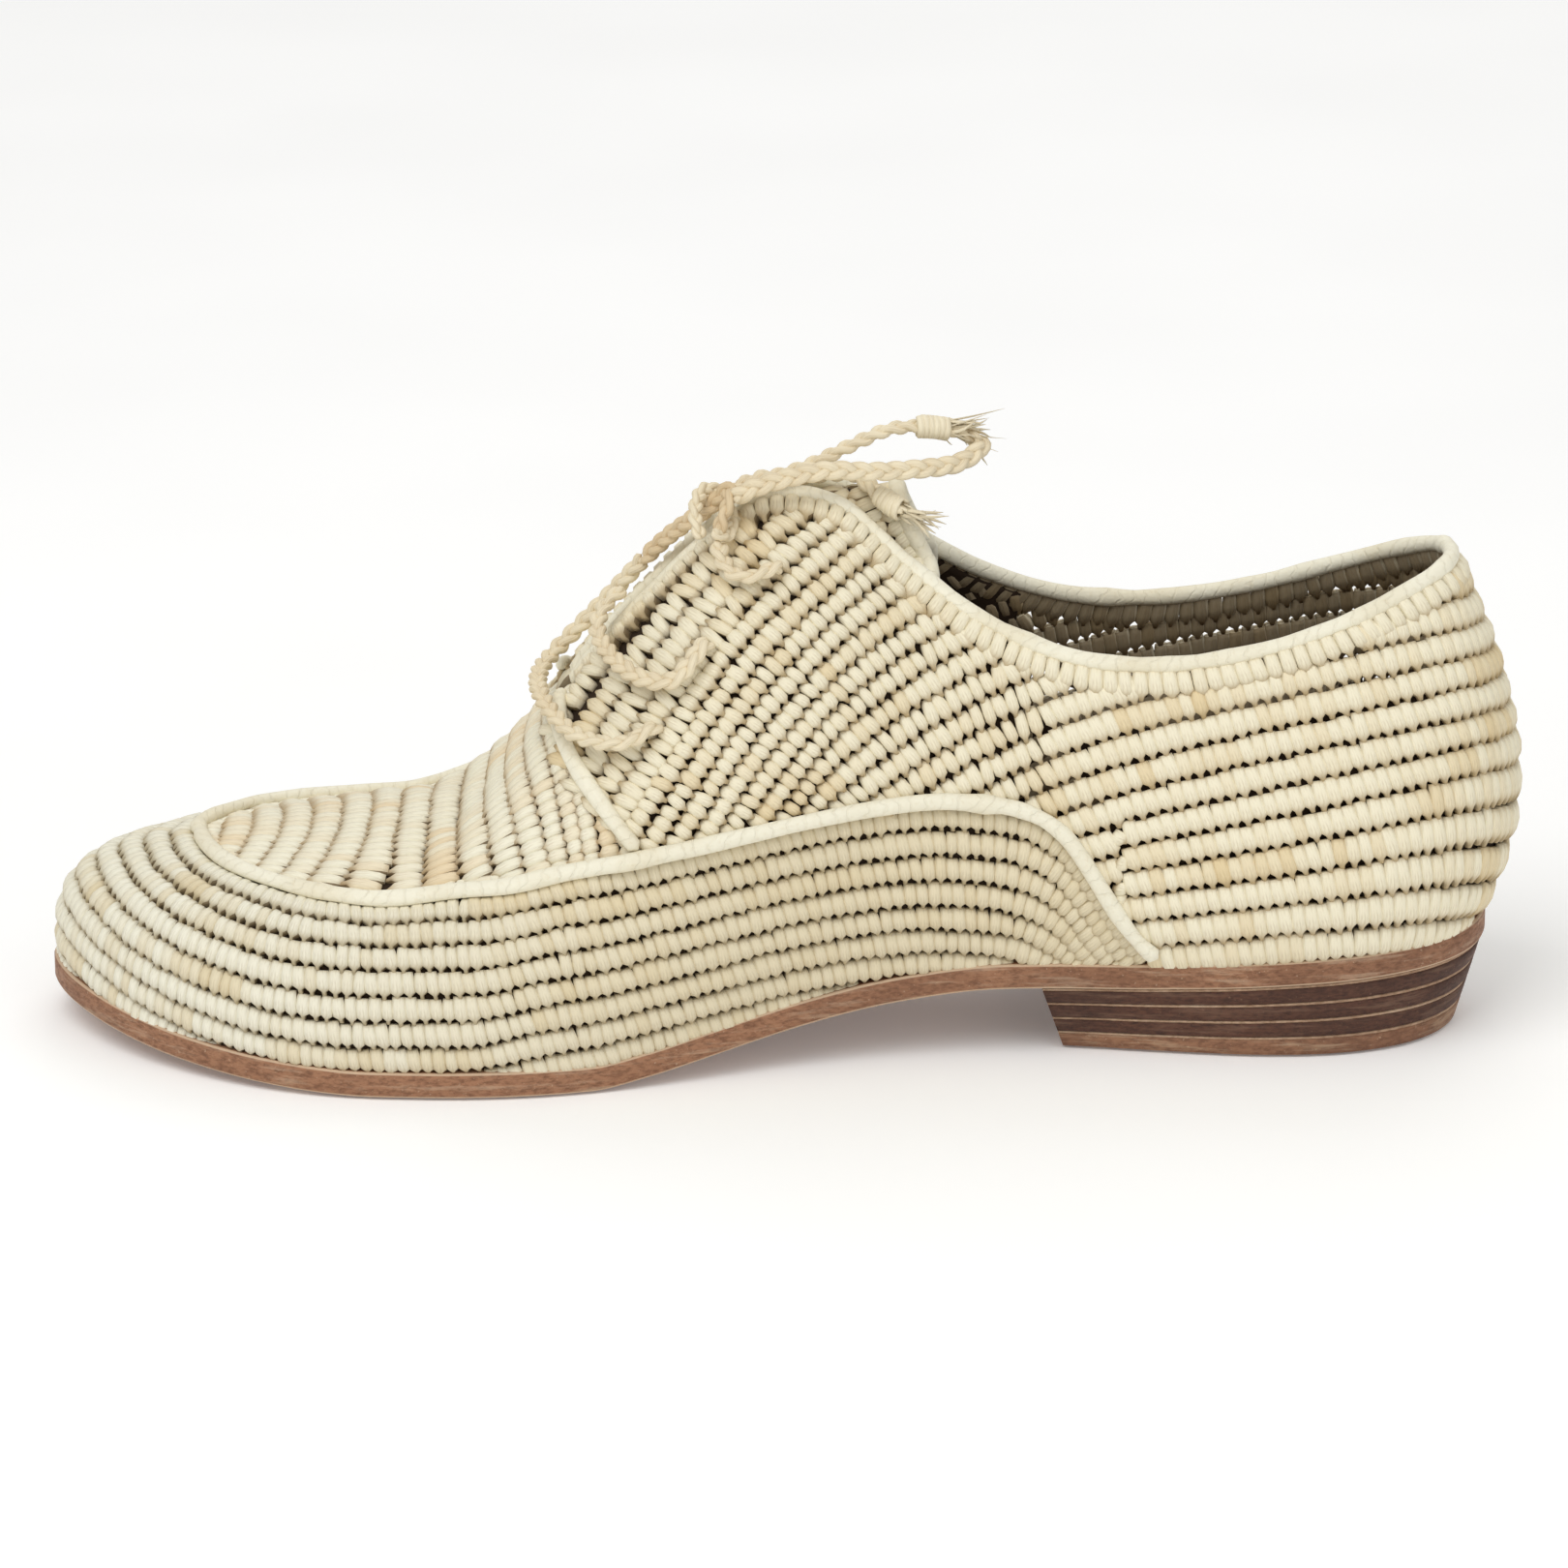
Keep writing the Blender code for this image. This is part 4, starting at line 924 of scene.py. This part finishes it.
def makeCords():
    own = cordSizes

    def seam(side, group):
        points, normals = wallFrame(side, group, apronWidth(side, group))
        step = last["step"] * np.clip((last["facingFoot"] + own["stepAhead"] - group) * 2, 0, 1)
        return points + normals * (step + own["lift"])[:, None], normals

    def collar(side, group):
        high = wallHeight(side, group)
        points, normals = wallFrame(side, group, high)
        up = unit(points - wallPoint(side, group, high - 0.5))
        return points + normals * (last["step"] - last["wall"]) / 2 + up * own["edgeUp"], normals

    rows = np.linspace(5, 7, 49)
    first = np.interp(own["apronFrom"], apronWidth(lateral, rows), rows)
    out = np.concatenate([np.arange(first, 7, 0.04), np.arange(7, lastRow, 0.1), [lastRow]])
    line = bothSides(out, out[-2::-1], seam)
    cordPiece("apronCord", *line, own["half"], own["rise"], "apron_cord", 3)
    for side, name, node in ((lateral, "facingCordOuter", "facing_cord_lateral"),
                             (medial, "facingCordInner", "facing_cord_medial")):
        p, s = panelPoint(side, last["facingFoot"] - own["facingBack"], np.linspace(*own["facing"]))
        points, normals = wallFrame(side, p, s)
        points = points + normals * (last["step"] + own["lift"] - own["facingDown"])
        cordPiece(name, points, normals, own["half"], own["rise"], node, 5)
    out = np.arange(0, own["collarTo"], 0.06)
    line = bothSides(out[::-1], out[1:], collar)
    cordPiece("collarCord", *line, own["edge"], own["edge"], "collar_cord", 9)


makeCords()
print("cords laid")


# tongue
tongueSheet = {"front": 14.7, "back": 8.2, "bow": 0.62, "bowWidth": 0.32, "halfFront": 11.0, "halfBack": 21.0,
               "rise": 7.6, "ease": 8, "crest": 10.0, "clear": 1.1, "thick": 1.8, "shadeSheet": 0.6,
               "across": 37, "along": 49, "rowPitch": 4.8, "overlap": 1.12, "leg": 2.5, "depth": 2.3,
               "first": 2.0, "side": 0.97, "loose": (6.0, 0.1, 51), "edgeSide": 0.96, "edge": 1.5}


def tonguePoint(t, share):
    own = tongueSheet
    t, share = np.broadcast_arrays(np.asarray(t, float), np.asarray(share, float))
    bow = own["bow"] * (1 - np.exp(-((share / own["bowWidth"]) ** 2)))
    p = own["front"] + (own["back"] - own["front"] - bow) * t
    arc = share * (own["halfFront"] + (own["halfBack"] - own["halfFront"]) * t)
    crest = np.clip(1 - (arc / own["crest"]) ** 2, 0, 1) ** 2
    depth = last["wall"] + own["clear"] + own["thick"] / 2
    return over(p.ravel(), arc.ravel(), (own["rise"] * t ** own["ease"] * crest - depth).ravel())


def makeTongue():
    own = tongueSheet
    n = own["across"]
    points, rows = [], []
    for t in np.linspace(0, 1, own["along"]):
        points += list(tonguePoint(t, np.linspace(-1, 1, n)))
    starts = [j * n + i for j in range(own["along"] - 1) for i in range(n - 1)]
    faces = [(a, a + 1, a + n + 1, a + n) for a in starts]
    # a dark sheet under the tongue's stitches, painted shade in the holes between them
    obj = meshObject("tongueSheet", toScene(points), faces, finishes["shadeSheet"])
    thicken(obj, "tongueBacking", own["shadeSheet"], "tongue")
    steps = np.linspace(0.04, 1, 90)
    run = lengths(tonguePoint(steps, 0.0))
    fine = np.linspace(-own["side"], own["side"], 61)
    for t in np.interp(np.arange(run[-1] - own["first"], 0, -own["rowPitch"]), run, steps):
        line = tonguePoint(t, fine)
        ahead = tonguePoint(max(t - 0.02, 0), fine)
        normals = unit(np.cross(line - ahead, np.gradient(line, axis=0)))
        normals *= np.sign(normals[:, 2:3] + 1e-9)
        tall = own["rowPitch"] * own["overlap"]
        rows.append(stitchesAlong(line, normals, own["leg"], tall, own["depth"], 0.0))
    crochet("tongueCrochet", rows, legStitch, finishes["quarter"], *own["loose"], "tongue")
    edge = tonguePoint(1.0, np.linspace(-own["edgeSide"], own["edgeSide"], 60))
    normals = np.tile([0.0, 0.0, 1.0], (len(edge), 1))
    cordPiece("tongueEdge", edge, normals, own["edge"], own["edge"], "tongue", 13)


makeTongue()
print("tongue made")


# braided lace
lace = {"wide": 0.95, "deep": 0.5, "strand": 0.8, "flat": 0.85, "turn": 9.6, "spacing": 0.5, "sides": 8,
        "round": 0.9, "size": 4.0, "wave": 0.0042, "smooth": 8}
laceBars = {  # row of the last, arc from the middle line, height over the wall
    "lace_bar_1": [(11.10, -41, 0.5), (11.12, -41.4, 2.4), (11.35, -42, 3.9), (11.70, -39.5, 5.0),
                   (12.20, -33.5, 5.4), (12.70, -25, 5.6), (13.10, -16, 5.8), (13.35, -8, 5.6),
                   (13.42, -1, 5.0), (13.28, 4.5, 4.2), (12.95, 7.2, 3.6), (12.55, 7.5, 3.4),
                   (12.20, 6.4, 3.4), (11.86, 4.4, 3.5)],
    "lace_bar_2": [(10.50, -31, 0.5), (10.52, -31.6, 2.4), (10.62, -34.3, 3.5), (10.85, -35.5, 3.6),
                   (11.30, -31.5, 3.8), (11.80, -23.5, 4.2), (12.25, -14, 4.6), (12.42, -8, 4.8),
                   (12.36, -3.6, 4.3), (12.16, -1.8, 3.2)],
    "lace_top_lateral": [(9.70, -21, 0.5), (9.72, -21.4, 2.4), (9.90, -23, 3.4), (10.15, -22, 3.5),
                         (10.36, -18, 3.5), (10.47, -13.6, 3.7)],
    "lace_top_medial": [(10.91, -0.7, 3.7), (10.70, 6, 3.5), (10.45, 11, 3.5), (10.10, 16.5, 3.5),
                        (9.74, 20.6, 2.6), (9.70, 21, 0.5)],
}
laceRuns = {  # along, across and height in millimetres
    "lace_knot": [(152.9, 4.8, 81.7), (148.4, 0.6, 87.2), (144.5, -3.2, 91.2), (140.9, -5.9, 94.6),
                  (138.2, -7.8, 97.8), (137.6, -10.2, 97.1), (139.0, -11.5, 93.8), (139.5, -12.8, 91.2)],
    "lace_loop_back": [(135.5, -7.1, 98.6), (130.7, -5.4, 99.6), (127.4, -4.6, 100.3), (123.2, -4.0, 101.7),
                       (116.1, -2.0, 104.6), (109.7, -0.5, 106.9), (103.2, 1.0, 106.9), (97.0, 2.2, 105.4),
                       (93.6, 1.0, 103.7), (97.9, -3.0, 101.5), (105.5, -6.6, 101.4), (113.1, -8.4, 101.5),
                       (120.7, -9.8, 102.1), (128.2, -10.6, 100.8), (133.6, -11.1, 99.2)],
    "lace_end": [(131.2, 0.2, 98.1), (125.7, 0.4, 97.8), (119.7, 0.2, 98.5), (115.5, -0.8, 98.6),
                 (112.2, -4.0, 96.6), (108.9, -6.5, 94.6), (105.5, -8.0, 93.9), (102.5, -8.5, 94.7)],
}
laceOrder = ("lace_bar_1", "lace_knot", "lace_bar_2", "lace_top_lateral", "lace_top_medial", "lace_loop_back",
             "lace_end")


def steadyNormals(points, start):  # carried along the line without twisting
    tangent = unit(np.gradient(points, axis=0))
    normal, out = np.asarray(start, float), []
    for t in tangent:
        normal = unit(normal - t * np.dot(normal, t))
        out.append(normal)
    return np.array(out)


def braid(points, phase, start, thin=1.0):  # three strands over and under each other
    line = evenLine(points, lace["spacing"])
    normal = steadyNormals(line, start)
    sideways = np.cross(normal, unit(np.gradient(line, axis=0)))
    angle = lengths(line) / (lace["turn"] * thin) * 2 * np.pi + phase
    shapes = []
    for k in range(3):
        a = angle + k * 2 * np.pi / 3
        centre = (line + sideways * (np.sin(a) * lace["wide"] * thin)[:, None]
                  + normal * (np.sin(2 * a) * lace["deep"] * thin)[:, None])
        half = lace["strand"] * thin * mm
        shapes.append(tube(toScene(centre), toSceneDirection(normal), half, half * lace["flat"],
                           lace["sides"], taper=lace["round"] * mm))
    return joined(shapes), line, angle[-1], normal[-1]


def strandPiece(name, shape, tint, *nodes):  # strands take the stitch finish, its fibres along the strand; u stays in the outer half, clear of the painted inner shade
    points, faces, uvs = shape
    uvs = np.asarray(uvs, float)
    uvs = np.stack([uvs[:, 0] * 0.5, 0.55 + 0.15 * np.sin(uvs[:, 1] / lace["wave"] * np.pi)], -1)
    piece = meshObject(name, points, faces, finishes["braid"], uvs)
    values = np.broadcast_to(tint, len(points)).astype(np.float32)
    piece.data.attributes.new("tint", "FLOAT", "POINT").data.foreach_set("value", values)
    return settle(piece, "raffia_braid", *nodes)


# loop ends in the knot, the knot's turn, the loop's binding and tuft, the wrapped end and its tuft
laceTrim = {
    "loopFrom": (138.8, -8.2, 96.6), "loopTo": (137.0, -10.6, 97.2),
    "turnPlace": (140.4, -8.8, 94.0), "turnAcross": (-0.34, -0.93, -0.12), "turnAxis": (-0.62, -0.45, 0.65),
    "turnHalf": (5.6, 3.3), "turnThin": 0.82, "turnFrom": 0.4, "turnMiddle": 3.5, "turnPitch": 0.5,
    "bindFrom": 37.0, "bindTo": 42.6, "bindTurns": 6, "bindRadius": 1.75, "bindUp": (0.0, 0.3, 1.0),
    "strip": 0.58, "stripWide": 1.25, "stripFlat": 0.7, "stripRound": 0.5, "stripSides": 6,
    "tuftAt": 42.4, "tuftFibres": 44, "tuftLong": 8.0, "tuftLean": (-0.2, 0.0, -0.15), "tuftSpread": 0.34,
    "endCut": 5.0, "endBack": 5.5, "endShort": 0.6, "endFrom": [(138.6, -6.4, 95.6), (135.4, -2.4, 97.4)],
    "endTurns": 5, "endFibres": 30, "endLong": 6.5, "endSpread": 0.26,
}


def coilRound(line, start, end, turns):  # a strip wound round the rope
    own = laceTrim
    centre = pick(line, lengths(line), np.linspace(start, end, turns * 14))
    tangent = unit(np.gradient(centre, axis=0))
    normal = steadyNormals(centre, own["bindUp"])
    sideways = np.cross(normal, tangent)
    angle = np.linspace(0, turns * 2 * np.pi, len(centre))[:, None]
    out = normal * np.cos(angle) + sideways * np.sin(angle)
    wide, flat = own["strip"] * own["stripWide"] * mm, own["strip"] * own["stripFlat"] * mm
    return tube(toScene(centre + out * own["bindRadius"]), toSceneDirection(out), wide, flat,
                own["stripSides"], taper=own["stripRound"] * mm)


fibre = {"points": 6, "bend": 0.35, "reach": (0.5, 1.0), "start": 0.55, "flat": 0.35, "sides": 5,
         "wide": [(0, 0.42), (0.7, 0.34), (1, 0.05)]}


def frayedEnd(place, direction, count, long, spread, seed):  # loose raffia fibres
    rng = np.random.default_rng(seed)
    t = np.linspace(0, 1, fibre["points"])[:, None]
    wide = np.interp(t[:, 0], *np.array(fibre["wide"]).T) * mm
    shapes = []
    for _ in range(count):
        lean = unit(np.asarray(direction, float) + rng.normal(0, spread, 3))
        bend = rng.normal(0, fibre["bend"], 3)
        reach = long * rng.uniform(*fibre["reach"])
        line = place + rng.normal(0, fibre["start"], 3) + (lean * t + bend * t * t * 0.5) * reach
        normals = np.tile(unit(rng.normal(size=3)), (len(t), 1))
        shapes.append(tube(toScene(line), normals, wide, wide * fibre["flat"], fibre["sides"]))
    return joined(shapes)


def makeLace():
    own = laceTrim
    lines, made, phase, up = {}, {}, 0.0, (0.0, 0.0, 1.0)
    for node, rows in laceBars.items():
        lines[node] = smoothLine(over(*np.array(rows, float).T), lace["smooth"])
    lines["lace_knot"] = smoothLine(laceRuns["lace_knot"], lace["smooth"])
    lines["lace_bar_1"] = np.vstack([lines["lace_bar_1"], lines["lace_knot"][:1]])
    loop = [own["loopFrom"], *laceRuns["lace_loop_back"], own["loopTo"]]  # both ends run on into the knot
    lines["lace_loop_back"] = smoothLine(loop, lace["smooth"])
    line = evenLine(smoothLine(own["endFrom"] + laceRuns["lace_end"], lace["smooth"]), 0.25)
    run = lengths(line)
    lines["lace_end"] = line[run < run[-1] - own["endCut"]]
    start = up
    for node in laceOrder:
        shape, line, phase, start = braid(lines[node], phase, start)
        if node != "lace_bar_1":
            start = up
        tint = 0.55 if node == "lace_knot" else 0.35
        made[node] = strandPiece("lace" + node[5:].title().replace("_", ""), shape, tint, node), line

    axis, across = unit(np.array(own["turnAxis"])), unit(np.array(own["turnAcross"]))
    across = unit(across - axis * np.dot(axis, across))
    deep = np.cross(axis, across)
    angle = np.linspace(own["turnFrom"], own["turnFrom"] + 2 * np.pi, 60)[:, None]
    ring = (np.array(own["turnPlace"]) + across * np.cos(angle) * own["turnHalf"][0]
            + deep * np.sin(angle) * own["turnHalf"][1]
            + axis * (angle - own["turnMiddle"]) * own["turnPitch"])
    turn = strandPiece("laceKnotTurn", braid(ring, 0.0, axis, own["turnThin"])[0], 0.3)

    loop, end = made["lace_loop_back"][1], made["lace_end"][1]
    coil = coilRound(loop, own["bindFrom"], own["bindTo"], own["bindTurns"])
    binding = strandPiece("laceLoopBinding", coil, 0.2)
    place, ahead = pick(loop, lengths(loop), [own["tuftAt"], own["tuftAt"] + 2])
    lean = unit(ahead - place) + np.array(own["tuftLean"])
    fibres = frayedEnd(place, lean, own["tuftFibres"], own["tuftLong"], own["tuftSpread"], 61)
    tuft = strandPiece("laceLoopTuft", fibres, 0.25)
    long = lengths(end)[-1]
    coil = coilRound(end, long - own["endBack"], long - own["endShort"], own["endTurns"])
    knot = strandPiece("laceEndKnot", coil, 0.3)
    lean = unit(end[-1] - end[-4])
    fibres = frayedEnd(end[-1], lean, own["endFibres"], own["endLong"], own["endSpread"], 67)
    fray = strandPiece("laceEndTuft", fibres, 0.3)

    for node, far, others in (("lace_knot", "object", [turn]), ("lace_loop_back", "object", [binding, tuft]),
                              ("lace_end", "knot", [knot, fray])):
        piece, line = made[node]
        path = toScene(line)
        long = float(lengths(path)[-1])
        print(node, round(long / mm, 1), "mm")


makeLace()
print("lace braided")


# sole, insole and heel
soleSizes = {"round": 0.6, "rowStep": 0.125, "tip": 0.05, "corner": 0.3, "insole": 2.4, "insoleIn": 0.7}


def edgeLine(side, q, spread):
    along, across, out = outline(side, q)
    return along + out[:, 0] * spread, across + out[:, 1] * spread


def soleRings(q, base, edge, profile):
    def ring(side, inset, up):
        along, across = edgeLine(side, q, edge - inset)
        return np.stack([along, across, underSole(along) + (base + up)], -1)

    return [[ring(side, inset, up) for side in (lateral, medial)] for inset, up in profile]


def slab(name, finish, rings, slot, node):
    # rings of lateral and medial edge points, bottom to top, closed by strips across
    points, loops, faces, uvs = [], [], [], []
    for left, right in rings:
        start = len(points)
        points += list(left) + list(right[::-1])
        loops.append(list(range(start, len(points))))
    tall = [loop[0][0][2] for loop in rings]
    share = [(z - tall[0]) / (tall[-1] - tall[0]) for z in tall]
    for low, high, v0, v1 in zip(loops[:-1], loops[1:], share[:-1], share[1:]):
        n = len(low)
        faces += [(low[i], low[(i + 1) % n], high[(i + 1) % n], high[i]) for i in range(n)]
        uvs += [(0.5, v0), (0.5, v0), (0.5, v1), (0.5, v1)] * n
    for loop in (loops[0], loops[-1]):
        n = len(loop)
        faces += [(loop[i], loop[i + 1], loop[n - 2 - i], loop[n - 1 - i]) for i in range(n // 2 - 1)]
        uvs += [(0.5, 0.5)] * 4 * (n // 2 - 1)
    return settle(meshObject(name, toScene(points), faces, finish, uvs), slot, node)


def makeSole():
    own = soleSizes
    inner = np.arange(own["rowStep"], lastRow, own["rowStep"])
    q = np.concatenate([[own["tip"]], inner, [lastRow - own["tip"]]])
    r, c, thick = own["round"], own["round"] * own["corner"], last["soleThickness"]
    profile = [(r, 0), (c, c), (0, r), (0, thick - r), (c, thick - c), (r, thick)]
    slab("outsole", finishes["sole"], soleRings(q, 0, last["soleEdge"], profile), "sole_leather", "outsole")
    base, thick = last["soleThickness"] + last["gap"], own["insole"]
    profile = [(r, 0), (0, r), (0, thick - r), (r, thick)]
    rings = soleRings(q, base, -last["wall"] - own["insoleIn"], profile)
    slab("insole", finishes["insole"], rings, "insole_leather", "insole")


# heights in layers, insets in millimetres; a pale line shows in each seam
heelStack = {"nodes": ("top_piece", "heel_lift_1", "heel_lift_2", "heel_lift_3"), "breast": 83.0,
             "taper": 1.4, "taperBack": 4.2, "taperFront": 4.0, "rake": 4.0, "edge": 0.5, "seam": 0.07,
             "bevel": 0.06, "bevelIn": 0.35, "lineIn": 0.22, "lineDown": 0.02, "lineUp": 0.05}


def makeHeel():
    own = heelStack
    rows = np.arange(lastRow + 1)
    breast = np.interp(own["breast"], columnsAt(lateral, rows)[0], rows)
    step = soleSizes["rowStep"]
    q = np.concatenate([[soleSizes["tip"]], np.arange(step, breast - 0.06, step), [breast]])
    layers = len(own["nodes"])

    def edgeRow(side, height, inset):
        along, across = edgeLine(side, q, last["soleEdge"] - inset)
        down = 1 - height / layers
        share = (along - along[0]) / (along[-1] - along[0])
        moved = along + down * (own["taperBack"] * (1 - share) - own["rake"] * share)
        taper = own["taper"] + own["taperFront"] * share**2
        across = across * (1 - down * taper / np.abs(across).max())
        return np.stack([moved, across, (underSole(moved) - last["gap"]) / layers * height], -1)

    def rings(stops):
        return [[edgeRow(side, height, inset) for side in (lateral, medial)] for height, inset in stops]

    edge, bevelled, lineEdge = own["edge"], own["edge"] + own["bevelIn"], own["edge"] + own["lineIn"]
    for layer, node in enumerate(own["nodes"]):
        low = layer + (own["seam"] if layer else 0.0)
        high = layer + 1.0 - own["seam"]
        stops = [(low, bevelled), (low + own["bevel"], edge), (high - own["bevel"], edge), (high, bevelled)]
        finish, slot = ("lift", "lift_leather") if layer else ("topPiece", "top_piece_leather")
        slab(node.title().replace("_", ""), finishes[finish], rings(stops), slot, node)
        stops = [(high - own["lineDown"], lineEdge), (layer + 1 + own["lineUp"], lineEdge)]
        slab("heelLine%d" % (layer + 1), finishes["line"], rings(stops), slot, node)


makeSole()
makeHeel()
print("sole and heel made")


# floor, light and camera
studio = {
    "light": 1.06, "lens": 155.47, "sensor": 36.0, "distance": 1200.0, "elevation": 19.0,
    "target": (-0.08, 3.794, 41.4), "world": (1.0, 0.995, 0.985, 1), "worldLight": 0.45, "floorDown": 0.4,
    # place, size and power of each lamp
    "lamps": {"key": ((-0.5, -0.7, 1.3), 1.1, 11.0), "fill": ((0.9, -1.0, 0.7), 1.4, 4.0),
              "back": ((0.2, 1.1, 1.2), 1.2, 5.0)},
    "lampTarget": (0, 0, 0.04),
}


def makeStudio():
    floor = bpy.data.meshes.new("floor")
    floor.from_pydata([(-4, -4, 0), (4, -4, 0), (4, 4, 0), (-4, 4, 0)], [], [(0, 1, 2, 3)])
    finish = Finish("paleFloor", Roughness=0.9, Specular_IOR_Level=0.1, Emission_Strength=0.1)
    cloud = finish.ramp(finish.noise(finish.place(), 6.0, 2.0), 0.3, 0.7)
    floor.materials.append(finish.done(finish.mixColor(cloud, rgb(252, 252, 251), rgb(249, 249, 248))))
    obj = linked("floor", floor)
    obj.location.z = -studio["floorDown"] * mm

    world = bpy.data.worlds.new("studio")
    world.use_nodes = True
    background = world.node_tree.nodes["Background"].inputs
    background[0].default_value, background[1].default_value = studio["world"], studio["worldLight"]
    bpy.context.scene.world = world
    for name, (place, size, power) in studio["lamps"].items():
        data = bpy.data.lights.new(name, "AREA")
        data.size, data.energy = size, power * studio["light"]
        lamp = linked(name, data)
        lamp.location = place
        aim = Vector(studio["lampTarget"]) - Vector(place)
        lamp.rotation_euler = aim.to_track_quat("-Z", "Y").to_euler()

    tilt = math.radians(studio["elevation"])
    target = Vector(studio["target"]) * mm
    camera = linked("camera", bpy.data.cameras.new("camera"))
    camera.data.lens, camera.data.sensor_width = studio["lens"], studio["sensor"]
    camera.location = target + Vector((0, -math.cos(tilt), math.sin(tilt))) * studio["distance"] * mm
    camera.rotation_euler = (math.pi / 2 - tilt, 0, 0)
    camera.data.clip_start, camera.data.clip_end = 0.01, 50
    bpy.context.scene.camera = camera


makeStudio()
bpy.context.scene.view_settings.view_transform = "Standard"
for shape in (legStitch, leafStitch, ribStitch):
    bpy.data.objects.remove(shape)
